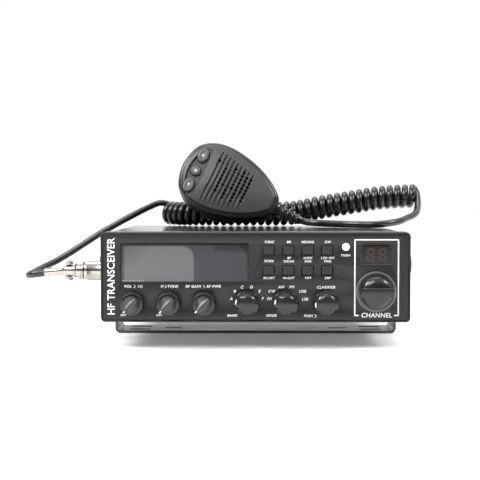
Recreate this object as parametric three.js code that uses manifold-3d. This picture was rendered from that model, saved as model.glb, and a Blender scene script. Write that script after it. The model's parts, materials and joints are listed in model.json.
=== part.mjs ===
// Mobile HF transceiver with its mounting bracket, palm microphone and curly cord.
// Millimetres, +Z up. The origin is at the centre of the underside of the bracket,
// the front panel looks along -Y and +X is to the right of someone facing it.

import * as THREE from 'three';
import { mergeVertices } from 'three/addons/utils/BufferGeometryUtils.js';
import Module from 'manifold-3d';

// ---------------------------------------------------------------- driving sizes

// clearances
const FIT = 0.3; // between pieces that touch or slide
const DROP = 2; // how far a cut runs past the surface that it opens

// front panel moulding
const PANEL_W = 200;
const PANEL_H = 58.2;
const PANEL_DEPTH = 20;
const PANEL_CORNER = 3;
const PANEL_WALL = 2.4;
const FACE_T = 3;
const CLEARANCE = 17.1; // under the panel, above the standing surface

// case
const CASE_SIDE = 4; // how far the chassis side stands inside the panel edge
const CASE_DEPTH = 186; // front to rear of the chassis sheet metal
const SHEET_T = 1.5;
const COVER_T = 1.2;
const COVER_LIP = 12;
const COVER_STEP = 1.1; // the covers lie this far inside the panel's edges

// bracket
const BRACKET_T = 2;
const BRACKET_DEPTH = 37;
const BRACKET_BEND = 4;
const BRACKET_AIR = 2.5; // arm to chassis side
const BRACKET_AHEAD = 107; // panel face to the middle of the bracket
const PIVOT_Z = 48.5;
const ARM_TOP_R = 10;
const SCREW_R = 2.4;
const SCREW_HEAD_R = 7.2;
const SCREW_HEAD_L = 12.5;

// controls
const SHAFT_R = 3;
const SHAFT_THIN_R = 1.8;
const BUSH_WALL = 1.2;
const BUSH_OUT = 1.5; // how far a bush stands out of the panel face
const POT_R = 8;
const POT_L = 8;
const KNOB_R = 8.1;
const KNOB_L = 14;
const RING_R = 7.8;
const RING_L = 6.6;
const INNER_KNOB_R = 6;
const INNER_KNOB_L = 8.5;
const CHANNEL_R = 13;
const CHANNEL_L = 16;
const KEY_W = 7;
const KEY_H = 6.2;
const KEY_OUT = 0.6;
const KEY_TRAVEL = 0.8;
const BOARD_T = 1.6;

const LAYOUT_CLEARANCE = 14.4; // the heights below are drawn for this clearance

// windows
const LCD = { x: -45.4, z: 52.9, w: 82.3, h: 24.6 };
const CHANNEL_WINDOW = { x: 77.9, z: 58.3, w: 19, h: 12.1 };
const WINDOW_T = 1.8;
const LED = { x: 58.2, z: 63.1, r: 2.5 };

// microphone
const MIC_AT = { x: -21, fromRear: 33.3, aboveCover: 30.6 };
const MIC_TURN = 25.4; // degrees, long axis below level on the right
const MIC_LEAN = 15; // degrees, top of the face away from the front
const MIC_FRONT_T = 15;
const MIC_REAR_T = 16;
const MIC_WALL = 2;
const MIC_EDGE = 4;

// microphone plug
const PLUG_Y = -60;
const PLUG_Z = 47.5;
const PLUG_R = 6.3;
const PLUG_RING_L = 18.7;
const PLUG_BODY_L = 5.6;
const PLUG_CLAMP_L = 21.4;

// cord
const CORD_R = 2.6;
const CORD_SIDES = 8;
const CURL_R = 9.6;

// ---------------------------------------------------------------- derived places

const faceY = -BRACKET_AHEAD;
const panelBackY = faceY + PANEL_DEPTH;
const faceBackY = faceY + FACE_T;
const panelX = PANEL_W / 2;
const panelZ0 = CLEARANCE;
const panelZ1 = CLEARANCE + PANEL_H;
const shiftZ = CLEARANCE - LAYOUT_CLEARANCE;
const sideX = panelX - CASE_SIDE;
const caseY0 = panelBackY + FIT;
const caseY1 = caseY0 + CASE_DEPTH;
const coverZ1 = panelZ1 - COVER_STEP;
const coverZ0 = panelZ0 + COVER_STEP;
const chassisZ0 = coverZ0 + COVER_T + FIT;
const chassisZ1 = coverZ1 - COVER_T - FIT;
const armX = sideX + BRACKET_AIR;
const boardY = faceBackY + 12;
const pinR = SCREW_R + FIT;
const micSize = { long: 80, wide: 55.6 };

const dualControls = [
  { x: -79.2, pot: 'volume_control', ring: 'squelch_ring', knob: 'volume_knob' },
  { x: -55.9, pot: 'mic_gain_control', ring: 'tone_ring', knob: 'mic_gain_knob' },
  { x: -33.1, pot: 'rf_gain_control', ring: 'rf_power_ring', knob: 'rf_gain_knob' },
];
const dualZ = 26.6 + shiftZ;
const barControls = [
  { x: -5.4, pot: 'band_switch', knob: 'band_knob', turn: 15 },
  { x: 19.5, pot: 'mode_switch', knob: 'mode_knob', turn: 15 },
  { x: 45.4, pot: 'clarifier_encoder', knob: 'clarifier_knob', turn: 0 },
];
const barZ = 26.8 + shiftZ;
const channelAt = { x: 77.5, z: 34.4 + shiftZ };
const keyColumns = [8.5, 21.2, 33.7, 46.1];
const keyRows = [
  { z: 61 + shiftZ, names: ['func_key', 'beep_key', 'noise_blanker_key', 'dual_watch_key'] },
  { z: 47.9 + shiftZ, names: ['scan_key', 'tone_scan_key', 'lock_key', 'display_key'] },
];
const keys = keyRows.flatMap((row) =>
  row.names.map((name, i) => ({ name, x: keyColumns[i], z: row.z })));
const lcd = { ...LCD, z: LCD.z + shiftZ };
const channelWindow = { ...CHANNEL_WINDOW, z: CHANNEL_WINDOW.z + shiftZ };
const led = { ...LED, z: LED.z + shiftZ };

// ---------------------------------------------------------------- solid tools

const wasm = await Module();
wasm.setup();

// A closed three.js geometry as a manifold solid.
function solid(geometry) {
  const g = geometry.index ? geometry.toNonIndexed() : geometry.clone();
  g.deleteAttribute('normal');
  g.deleteAttribute('uv');
  const merged = mergeVertices(g, 1e-4);
  const points = merged.attributes.position;
  const corners = [...merged.index.array];
  const faces = [];
  let volume = 0;
  const [a, b, c] = [new THREE.Vector3(), new THREE.Vector3(), new THREE.Vector3()];
  for (let i = 0; i < corners.length; i += 3) {
    const [p, q, r] = corners.slice(i, i + 3);
    if (p === q || q === r || r === p) {
      continue;
    }
    faces.push([p, q, r]);
    a.fromBufferAttribute(points, p);
    b.fromBufferAttribute(points, q);
    c.fromBufferAttribute(points, r);
    volume += a.dot(b.cross(c));
  }
  // a profile drawn the other way round comes out inside out
  const outward = volume > 0 ? faces : faces.map(([p, q, r]) => [p, r, q]);
  return new wasm.Manifold(new wasm.Mesh({
    numProp: 3,
    vertProperties: new Float32Array(points.array),
    triVerts: new Uint32Array(outward.flat()),
  }));
}

function geometryOf(body) {
  const mesh = body.getMesh();
  const g = new THREE.BufferGeometry();
  g.setAttribute('position', new THREE.BufferAttribute(new Float32Array(mesh.vertProperties), 3));
  g.setIndex(new THREE.BufferAttribute(new Uint32Array(mesh.triVerts), 1));
  g.computeVertexNormals();
  return g;
}

function join(...bodies) {
  return bodies.reduce((a, b) => a.add(b));
}

// A box between two corners.
function box(x0, x1, y0, y1, z0, z1) {
  const g = new THREE.BoxGeometry(x1 - x0, y1 - y0, z1 - z0);
  g.translate((x0 + x1) / 2, (y0 + y1) / 2, (z0 + z1) / 2);
  return solid(g);
}

// A turned body about a line along +Y through (x, z); profile points are [radius, y].
function turnedY(x, z, profile, sides = 20) {
  const points = profile.map(([r, y]) => new THREE.Vector2(r, y));
  const g = new THREE.LatheGeometry(points, sides);
  g.translate(x, 0, z);
  return solid(g);
}

function discY(x, z, r, y0, y1, sides = 20) {
  return turnedY(x, z, [[0, y0], [r, y0], [r, y1], [0, y1]], sides);
}

// A turned body about a line along +X through (y, z); profile points are [radius, x].
function turnedX(y, z, profile, sides = 20) {
  const points = profile.map(([r, x]) => new THREE.Vector2(r, x));
  const g = new THREE.LatheGeometry(points, sides);
  g.rotateZ(-Math.PI / 2);
  g.translate(0, y, z);
  return solid(g);
}

function discX(y, z, r, x0, x1, sides = 20) {
  return turnedX(y, z, [[0, x0], [r, x0], [r, x1], [0, x1]], sides);
}

function discZ(x, y, r, z0, z1, sides = 16) {
  const g = new THREE.CylinderGeometry(r, r, z1 - z0, sides);
  g.rotateX(Math.PI / 2);
  g.translate(x, y, (z0 + z1) / 2);
  return solid(g);
}

// An outline drawn in X and Z, pushed from y0 to y1.
function slabY(shape, y0, y1, curveSegments = 4) {
  const g = new THREE.ExtrudeGeometry(shape, {
    depth: y1 - y0, bevelEnabled: false, curveSegments,
  });
  g.rotateX(Math.PI / 2);
  g.translate(0, y1, 0);
  return solid(g);
}

function roundRect(x0, x1, z0, z1, r) {
  const s = new THREE.Shape();
  s.moveTo(x0 + r, z0);
  s.lineTo(x1 - r, z0);
  s.absarc(x1 - r, z0 + r, r, -Math.PI / 2, 0, false);
  s.lineTo(x1, z1 - r);
  s.absarc(x1 - r, z1 - r, r, 0, Math.PI / 2, false);
  s.lineTo(x0 + r, z1);
  s.absarc(x0 + r, z1 - r, r, Math.PI / 2, Math.PI, false);
  s.lineTo(x0, z0 + r);
  s.absarc(x0 + r, z0 + r, r, Math.PI, Math.PI * 1.5, false);
  return s;
}

// ---------------------------------------------------------------- the model group

const model = new THREE.Group();

const finishes = {
  bracketPaint: [0x23252a, 0.45, 0.6],
  blackPaint: [0x1b1c1f, 0.4, 0.5],
  panelPlastic: [0x2c2c2f, 0.5, 0],
  knobPlastic: [0x141416, 0.35, 0],
  smokedLens: [0x3a3b3d, 0.1, 0],
  redLens: [0x2a1512, 0.1, 0],
  boardGreen: [0x1f4a2c, 0.6, 0],
  steel: [0xb9bcc0, 0.3, 1],
  aluminium: [0x9a9da2, 0.4, 1],
  ledLens: [0xf2f2f0, 0.2, 0],
  micPlastic: [0x37383b, 0.55, 0],
  rubber: [0x101012, 0.5, 0],
  cordRubber: [0x0c0c0e, 0.3, 0],
};

function add(name, body, finish, parent = model) {
  const [color, roughness, metalness] = finishes[finish];
  const material = new THREE.MeshStandardMaterial({ color, roughness, metalness });
  const geometry = body instanceof THREE.BufferGeometry ? body : geometryOf(body);
  const mesh = new THREE.Mesh(geometry, material);
  mesh.name = name;
  parent.add(mesh);
  return mesh;
}

// ---------------------------------------------------------------- bracket

function bracket() {
  const outX = armX + BRACKET_T;
  const half = BRACKET_DEPTH / 2;
  const top = PIVOT_Z + ARM_TOP_R;
  const outer = roundRect(-outX, outX, 0, top + BRACKET_BEND, BRACKET_BEND);
  const r = BRACKET_BEND - BRACKET_T;
  const inner = roundRect(-armX, armX, BRACKET_T, top + BRACKET_BEND + DROP, r);
  let body = slabY(outer, -half, half).subtract(slabY(inner, -half - DROP, half + DROP));
  body = body.subtract(box(-outX - DROP, outX + DROP, -half - DROP, half + DROP,
    top, top + BRACKET_BEND + 2 * DROP));
  // rounded arm ends: keep only what lies inside the side outline
  const side = new THREE.Shape();
  side.moveTo(-half, -DROP);
  side.lineTo(half, -DROP);
  side.lineTo(half, PIVOT_Z - ARM_TOP_R);
  side.lineTo(ARM_TOP_R, PIVOT_Z);
  side.absarc(0, PIVOT_Z, ARM_TOP_R, 0, Math.PI, false);
  side.lineTo(-half, PIVOT_Z - ARM_TOP_R);
  const g = new THREE.ExtrudeGeometry(side, {
    depth: 2 * (outX + DROP), bevelEnabled: false, curveSegments: 6,
  });
  g.rotateX(Math.PI / 2);
  g.rotateZ(Math.PI / 2);
  g.translate(-outX - DROP, 0, 0);
  body = body.intersect(solid(g));
  body = body.subtract(discX(0, PIVOT_Z, pinR + FIT, -outX - DROP, outX + DROP, 20));
  // mounting slots in the base, two pairs a side
  const slots = [[76, 91, -9], [76, 91, 9], [53.5, 66, 0]];
  for (const [x0, x1, y] of slots) {
    for (const sign of [-1, 1]) {
      const a = Math.min(sign * x0, sign * x1);
      const b = Math.max(sign * x0, sign * x1);
      body = body.subtract(box(a, b, y - 2.6, y + 2.6, -DROP, BRACKET_T + DROP));
    }
  }
  add('mounting_bracket', body, 'bracketPaint');
}

function thumbScrew(name, sign) {
  const arm = armX + BRACKET_T + FIT;
  const profile = [
    [0, sideX - 7], [SCREW_R, sideX - 7], [SCREW_R, arm],
    [SCREW_HEAD_R - 1.2, arm], [SCREW_HEAD_R, arm + 1.2],
    [SCREW_HEAD_R, arm + SCREW_HEAD_L - 1.5], [SCREW_HEAD_R - 1.5, arm + SCREW_HEAD_L],
    [0, arm + SCREW_HEAD_L],
  ];
  let body = turnedX(0, PIVOT_Z, profile, 20);
  // grip flutes
  for (let i = 0; i < 10; i++) {
    const a = (i / 10) * Math.PI * 2;
    const y = Math.cos(a) * (SCREW_HEAD_R + 0.35);
    const z = PIVOT_Z + Math.sin(a) * (SCREW_HEAD_R + 0.35);
    body = body.subtract(discX(y, z, 1, arm + 1.5, arm + SCREW_HEAD_L + DROP, 6));
  }
  const g = geometryOf(body);
  if (sign < 0) g.rotateZ(Math.PI);
  add(name, g, 'knobPlastic');
}

// ---------------------------------------------------------------- case

const bossR = 8;
const bossL = BRACKET_AIR - FIT;
const jackAt = { x: -70, z: 46 };
const antennaAt = { x: -45, z: 46 };
const powerAt = { x: 78, z: 46 };
const rearPlateY = caseY1 - SHEET_T;

function chassis() {
  const outer = box(-sideX, sideX, caseY0, caseY1, chassisZ0, chassisZ1);
  const inner = box(-sideX + SHEET_T, sideX - SHEET_T, caseY0 + SHEET_T, caseY1 - SHEET_T,
    chassisZ0 - DROP, chassisZ1 + DROP);
  let body = outer.subtract(inner);
  for (const sign of [-1, 1]) {
    const a = sign > 0 ? sideX - 6 : -sideX - bossL;
    body = join(body, discX(0, PIVOT_Z, bossR, a, a + 6 + bossL));
  }
  body = body.subtract(discX(0, PIVOT_Z, pinR, -sideX - DROP - bossL, sideX + DROP + bossL, 20));
  // wiring window in the front plate
  body = body.subtract(box(-70, 70, caseY0 - DROP, caseY0 + SHEET_T + DROP, 30, 62));
  // holes for the sockets
  body = body.subtract(discX(PLUG_Y, PLUG_Z, 5.2 + FIT, -sideX - DROP, -sideX + SHEET_T + DROP));
  body = body.subtract(discY(antennaAt.x, antennaAt.z, 6 + FIT, rearPlateY - DROP, caseY1 + DROP));
  body = body.subtract(discY(jackAt.x, jackAt.z, 3.5 + FIT, rearPlateY - DROP, caseY1 + DROP, 16));
  body = body.subtract(box(powerAt.x - 8, powerAt.x + 8, rearPlateY - DROP, caseY1 + DROP,
    powerAt.z - 6, powerAt.z + 6));
  add('chassis_frame', body, 'blackPaint');
}

// A shallow tray that wraps over the chassis from above or below.
function cover(name, z0, z1, lipEnd, cut) {
  const x = sideX + FIT;
  const plate = box(-x - COVER_T, x + COVER_T, caseY0, caseY1, z0, z1);
  const lips = [-1, 1].map((sign) => {
    const a = sign > 0 ? x : -x - COVER_T;
    return box(a, a + COVER_T, caseY0, caseY1, Math.min(z0, lipEnd), Math.max(z1, lipEnd));
  });
  add(name, cut(join(plate, ...lips)), 'blackPaint');
}

function topCover() {
  cover('top_cover', coverZ1 - COVER_T, coverZ1, coverZ1 - COVER_LIP, (body) => {
    let b = body;
    for (let i = 0; i < 8; i++) {
      const x = -56 + i * 16;
      b = b.subtract(box(x - 6, x + 6, 36, 38.4, coverZ1 - COVER_T - DROP, coverZ1 + DROP));
      b = b.subtract(box(x - 6, x + 6, 43, 45.4, coverZ1 - COVER_T - DROP, coverZ1 + DROP));
    }
    return b;
  });
}

const speakerAt = { x: 0, y: -44, r: 33 };

function bottomCover() {
  cover('bottom_cover', coverZ0, coverZ0 + COVER_T, coverZ0 + COVER_LIP, (body) => {
    let b = body;
    for (let i = -4; i <= 4; i++) {
      const half = Math.sqrt(28 * 28 - (i * 6) * (i * 6));
      b = b.subtract(box(-half, half, speakerAt.y + i * 6 - 1.1, speakerAt.y + i * 6 + 1.1,
        coverZ0 - DROP, coverZ0 + COVER_T + DROP));
    }
    return b;
  });
}

function loudspeaker() {
  const z = chassisZ0 + 0.2;
  const points = [
    [0, z + 3], [12, z + 3], [26, z + 0.6], [speakerAt.r - 3, z], [speakerAt.r, z],
    [speakerAt.r, z + 2], [speakerAt.r - 3, z + 3], [17, z + 11], [16, z + 12],
    [16, z + 19], [0, z + 19],
  ];
  const g = new THREE.LatheGeometry(points.map(([r, h]) => new THREE.Vector2(r, h)), 24);
  g.rotateX(Math.PI / 2);
  g.translate(speakerAt.x, speakerAt.y, 0);
  add('loudspeaker', solid(g), 'steel');
}

function heatSink() {
  const y = caseY1 + FIT;
  const x0 = -20;
  const x1 = 62;
  const z0 = chassisZ0 + 3;
  const z1 = chassisZ1 - 3;
  let body = box(x0, x1, y, y + 3, z0, z1);
  const fins = 14;
  for (let i = 0; i < fins; i++) {
    const x = x0 + (i * (x1 - x0 - 2)) / (fins - 1);
    body = join(body, box(x, x + 2, y, y + 13, z0, z1));
  }
  add('heat_sink', body, 'aluminium');
}

function rearSockets() {
  const y0 = rearPlateY - FIT;
  const out = caseY1 + FIT;
  // antenna socket: flange inside the plate, threaded barrel with a centre contact
  const barrel = turnedY(antennaAt.x, antennaAt.z, [
    [0, y0 - 12], [4, y0 - 12], [4, y0 - 2], [9, y0 - 2], [9, y0], [6, y0], [6, out + 12],
    [4.3, out + 12], [4.3, out + 1], [1.9, out + 1], [1.9, out + 8], [0, out + 8],
  ], 16);
  add('antenna_socket', barrel, 'steel');
  const jack = turnedY(jackAt.x, jackAt.z, [
    [0, y0 - 14], [4.5, y0 - 14], [4.5, y0], [3.5, y0], [3.5, out], [5, out], [5, out + 2.5],
    [1.8, out + 2.5], [1.8, y0 - 10], [0, y0 - 10],
  ], 12);
  add('speaker_jack', jack, 'steel');
  let inlet = box(powerAt.x - 7.7, powerAt.x + 7.7, y0 - 12, out + 7, powerAt.z - 5.7, powerAt.z + 5.7);
  inlet = join(inlet, box(powerAt.x - 10, powerAt.x + 10, y0 - 2, y0, powerAt.z - 8, powerAt.z + 8));
  inlet = inlet.subtract(box(powerAt.x - 6.2, powerAt.x + 6.2, y0 - 6, out + 7 + DROP,
    powerAt.z - 4.2, powerAt.z + 4.2));
  for (const x of [-3.5, 0, 3.5]) {
    inlet = join(inlet, box(powerAt.x + x - 0.5, powerAt.x + x + 0.5, y0 - 7, out + 3,
      powerAt.z - 1.5, powerAt.z + 1.5));
  }
  add('power_inlet', inlet, 'knobPlastic');
}

function mainBoard() {
  const z = PLUG_Z - 7.2;
  const inside = sideX - SHEET_T - 6;
  const front = caseY0 + 8;
  const rear = rearPlateY - 16;
  let body = box(-inside, inside, front, rear, z, z + BOARD_T);
  // the components are drawn for a board from -78.7 to 82.1 and a half width of 88.8
  const deep = (y) => front + ((y + 78.7) / 160.8) * (rear - front);
  const wide = (x) => (x * inside) / 88.8;
  const parts = [
    [-70, -60, 12, 12, 10], [-50, -62, 9, 9, 11], [-30, -60, 9, 9, 11], [-8, -60, 12, 10, 9],
    [20, -58, 16, 12, 6], [52, -55, 22, 18, 5], [-62, -20, 18, 14, 6], [-28, -22, 10, 10, 12],
    [4, -20, 10, 10, 12], [36, -16, 14, 12, 8], [66, -10, 16, 20, 10], [-60, 24, 20, 12, 9],
    [-20, 22, 14, 14, 12], [14, 26, 18, 10, 7], [50, 30, 16, 16, 12], [20, 72, 50, 8, 14],
  ];
  for (const [px, py, w, d, h] of parts) {
    const x = wide(px);
    const y = deep(py);
    body = join(body, box(x - w / 2, x + w / 2, y - d / 2, y + d / 2, z + BOARD_T - 0.2, z + h));
  }
  for (const [x, y] of [[-76, 60], [-40, 62], [74, 62]]) {
    body = join(body, discZ(wide(x), deep(y), 7, z + BOARD_T - 0.2, z + 18, 16));
  }
  add('main_board', body, 'boardGreen');
}

// ---------------------------------------------------------------- front panel

function holeY(x, z, r) {
  return discY(x, z, r, faceY - DROP, faceBackY + DROP, 24);
}

function windowHole(w) {
  return box(w.x - w.w / 2 - FIT, w.x + w.w / 2 + FIT, faceY - DROP, faceBackY + DROP,
    w.z - w.h / 2 - FIT, w.z + w.h / 2 + FIT);
}

function frontPanel() {
  const outer = slabY(roundRect(-panelX, panelX, panelZ0, panelZ1, PANEL_CORNER), faceY, panelBackY);
  const w = PANEL_WALL;
  let body = outer.subtract(box(-panelX + w, panelX - w, faceBackY, panelBackY + DROP,
    panelZ0 + w, panelZ1 - w));
  const bushR = SHAFT_R + FIT + BUSH_WALL + FIT;
  const round = [...dualControls.map((c) => [c.x, dualZ]), ...barControls.map((c) => [c.x, barZ]),
    [channelAt.x, channelAt.z]];
  for (const [x, z] of round) {
    body = body.subtract(holeY(x, z, bushR));
  }
  body = body.subtract(holeY(led.x, led.z, led.r + FIT));
  for (const k of keys) {
    body = body.subtract(windowHole({ ...k, w: KEY_W, h: KEY_H }));
  }
  body = body.subtract(windowHole(lcd));
  body = body.subtract(windowHole(channelWindow));
  // upright grip ribs at the right-hand edge
  for (let i = 0; i < 3; i++) {
    const x = 95.2 + i * 1.5;
    body = body.subtract(box(x, x + 0.6, faceY - DROP, faceY + 0.6, panelZ0 + 5, panelZ1 - 5));
  }
  add('front_panel', body, 'panelPlastic');
}

function windowsAndLamps() {
  for (const [name, w, finish] of [['display_window', lcd, 'smokedLens'],
    ['channel_window', channelWindow, 'redLens']]) {
    const y = faceY + 0.2;
    add(name, box(w.x - w.w / 2, w.x + w.w / 2, y, y + WINDOW_T, w.z - w.h / 2, w.z + w.h / 2), finish);
  }
  const back = faceY + 0.2 + WINDOW_T + FIT;
  for (const [name, w, finish] of [['display_module', lcd, 'smokedLens'],
    ['channel_display', channelWindow, 'redLens']]) {
    let body = box(w.x - w.w / 2, w.x + w.w / 2, back, boardY - FIT, w.z - w.h / 2, w.z + w.h / 2);
    body = join(body, box(w.x - w.w / 2 - 1.5, w.x + w.w / 2 + 1.5, faceBackY + FIT, boardY - FIT - 2,
      w.z - w.h / 2 - 1.5, w.z + w.h / 2 + 1.5));
    add(name, body, finish);
  }
  const lens = turnedY(led.x, led.z, [
    [0, faceY - 1.2], [1.4, faceY - 0.9], [led.r - 0.3, faceY - 0.1], [led.r, faceY + 0.6],
    [led.r, faceBackY + FIT], [led.r + 0.5, faceBackY + FIT], [led.r + 0.5, faceBackY + 1.5],
    [0.6, faceBackY + 1.5], [0.6, boardY - FIT], [0, boardY - FIT],
  ], 16);
  add('status_led', lens, 'ledLens');
}

function frontBoard() {
  let body = box(-panelX + 6, panelX - 6, boardY, boardY + BOARD_T, panelZ0 + 4.5, panelZ1 - 4.5);
  for (const k of keys) {
    const y0 = boardY - 3.5;
    body = join(body, box(k.x - 3, k.x + 3, y0, boardY + 0.5, k.z - 3, k.z + 3));
  }
  add('front_board', body, 'boardGreen');
}

function frontKeys() {
  for (const k of keys) {
    const flange = faceBackY + FIT;
    const end = boardY - 3.5 - FIT - KEY_TRAVEL;
    const stem = box(k.x - KEY_W / 2, k.x + KEY_W / 2, faceY - KEY_OUT, end, k.z - KEY_H / 2, k.z + KEY_H / 2);
    const lip = box(k.x - KEY_W / 2 - 1, k.x + KEY_W / 2 + 1, flange, flange + 1,
      k.z - KEY_H / 2 - 1, k.z + KEY_H / 2 + 1);
    add(k.name, join(stem, lip), 'knobPlastic');
  }
}

// ---------------------------------------------------------------- rotary controls

const bushBore = SHAFT_R + FIT;
const bushR = bushBore + BUSH_WALL;
const potY = faceBackY + FIT;
const bushEnd = faceY - BUSH_OUT;

// The body of a potentiometer or switch with its threaded bush, open to the front.
function controlBody(name, x, z, bodyR, shaftEnd) {
  const body = turnedY(x, z, [
    [0, shaftEnd + FIT], [bushBore, shaftEnd + FIT], [bushBore, bushEnd], [bushR, bushEnd],
    [bushR, potY], [bodyR, potY], [bodyR, potY + POT_L], [0, potY + POT_L],
  ]);
  add(name, body, 'steel');
}

// A knob with a grip bar across its front; its shaft reaches into the control.
function barKnob(x, z, r, length, turn, shaft) {
  const y0 = bushEnd - FIT;
  const front = faceY - length;
  const skirt = 0.35 * length;
  let body = turnedY(x, z, [
    [0, front + skirt], [r - 1.2, front + skirt], [r, front + skirt + 1.5], [r, faceY - FIT - 0.2],
    [bushR + FIT, faceY - FIT - 0.2], [bushR + FIT, y0], [0, y0],
  ], 24);
  const bar = new THREE.Shape();
  const half = 0.27 * r;
  bar.moveTo(-r + 0.8, -half * 0.7);
  bar.lineTo(r - 0.8, -half * 0.7);
  bar.lineTo(r - 0.4, 0);
  bar.lineTo(r - 0.8, half * 0.7);
  bar.lineTo(0, half);
  bar.lineTo(-r + 0.8, half * 0.7);
  bar.lineTo(-r + 0.4, 0);
  bar.lineTo(-r + 0.8, -half * 0.7);
  const g = new THREE.ExtrudeGeometry(bar, { depth: skirt + 1, bevelEnabled: false });
  g.rotateX(Math.PI / 2);
  g.rotateY(THREE.MathUtils.degToRad(turn));
  g.translate(x, front + skirt + 1, z);
  body = join(body, solid(g));
  if (shaft) {
    body = join(body, discY(x, z, SHAFT_R, y0 - 1, shaft, 20));
  }
  return body;
}

const shaftEnd = potY + POT_L - 3;

function rotaryControls() {
  for (const c of dualControls) {
    controlBody(c.pot, c.x, dualZ, POT_R, shaftEnd);
    const ringFront = faceY - BUSH_OUT - RING_L;
    const tubeBore = SHAFT_THIN_R + FIT;
    const ring = turnedY(c.x, dualZ, [
      [tubeBore, shaftEnd - 2], [tubeBore, ringFront], [RING_R - 0.8, ringFront],
      [RING_R, ringFront + 0.8], [RING_R, faceY - FIT - 0.2], [bushR + FIT, faceY - FIT - 0.2],
      [bushR + FIT, bushEnd - FIT], [SHAFT_R, bushEnd - FIT], [SHAFT_R, shaftEnd - 2],
      [tubeBore, shaftEnd - 2],
    ], 20);
    add(c.ring, ring, 'knobPlastic');
    const y0 = ringFront - FIT;
    const y1 = y0 - INNER_KNOB_L;
    const knob = turnedY(c.x, dualZ, [
      [0, y1], [INNER_KNOB_R - 0.9, y1], [INNER_KNOB_R, y1 + 0.9], [INNER_KNOB_R, y0],
      [SHAFT_THIN_R, y0], [SHAFT_THIN_R, shaftEnd - 1], [0, shaftEnd - 1],
    ], 20);
    add(c.knob, knob, 'knobPlastic');
  }
  for (const c of barControls.slice(0, 2)) {
    controlBody(c.pot, c.x, barZ, POT_R, shaftEnd);
    add(c.knob, barKnob(c.x, barZ, KNOB_R, KNOB_L, c.turn, shaftEnd), 'knobPlastic');
  }
  // clarifier: a push spindle in the encoder, with the knob turning on its end
  const c = barControls[2];
  controlBody(c.pot, c.x, barZ, POT_R, shaftEnd);
  const push = 1;
  const spindleFront = faceY - 8;
  add('clarifier_spindle', discY(c.x, barZ, SHAFT_R, spindleFront, shaftEnd - push - FIT, 20), 'steel');
  let knob = barKnob(c.x, barZ, KNOB_R, KNOB_L, c.turn, 0);
  knob = knob.subtract(discY(c.x, barZ, SHAFT_R + FIT, spindleFront - FIT, faceY, 20));
  knob = knob.subtract(discY(c.x, barZ, bushR + FIT, bushEnd - FIT - push, faceY, 20));
  knob = knob.subtract(discY(c.x, barZ, KNOB_R + DROP, faceY - push - FIT - 0.2, faceY + DROP, 20));
  add(c.knob, knob, 'knobPlastic');
  // channel selector
  controlBody('channel_encoder', channelAt.x, channelAt.z, POT_R, shaftEnd);
  add('channel_knob', barKnob(channelAt.x, channelAt.z, CHANNEL_R, CHANNEL_L, 0, shaftEnd), 'knobPlastic');
}

// ---------------------------------------------------------------- microphone

// Outline of the hand microphone, long axis u from the buttons to the cord,
// half width v, drawn as one smooth closed curve and grown by a margin.
function micOutline(margin) {
  const halfWidths = [[-37, 0], [-34.2, 13.5], [-29, 20.6], [-20, 25.2], [-9, 26.4], [3, 24.8],
    [15, 21.4], [26, 16.2], [34, 10.6], [38.6, 5]];
  const along = micSize.long / 76;
  const across = micSize.wide / 52.8;
  const up = halfWidths.map(([u, v]) => new THREE.Vector2(u * along, v * across));
  const down = halfWidths.slice(1).reverse().map(([u, v]) => new THREE.Vector2(u * along, -v * across));
  const spline = new THREE.SplineCurve([...up, ...down, up[0]]);
  const points = spline.getPoints(38).slice(0, -1);
  return points.map((p, i) => {
    const before = points[(i + points.length - 1) % points.length];
    const after = points[(i + 1) % points.length];
    const t = after.clone().sub(before).normalize();
    return new THREE.Vector2(p.x - t.y * margin, p.y + t.x * margin);
  });
}

// A slice of the microphone between two depths, its far rim drawn in by the edge.
function micSlab(margin, w0, w1, edge) {
  const sign = Math.sign(w1 - w0);
  const bodies = [];
  const steps = [[0, 0], [0.65, 0.3], [1, 1]];
  let from = w0;
  for (let i = 0; i < steps.length; i++) {
    const inset = edge * steps[i][1];
    const to = i === steps.length - 1 ? w1 : w1 - sign * edge * (1 - steps[i + 1][0]);
    const shape = new THREE.Shape(micOutline(margin - inset));
    const g = new THREE.ExtrudeGeometry(shape, { depth: Math.abs(to - w0), bevelEnabled: false });
    g.translate(0, 0, Math.min(w0, to));
    bodies.push(solid(g));
    from = to;
  }
  return from === w1 ? join(...bodies) : bodies[0];
}

const pttAlong = [-12, 16];

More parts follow.
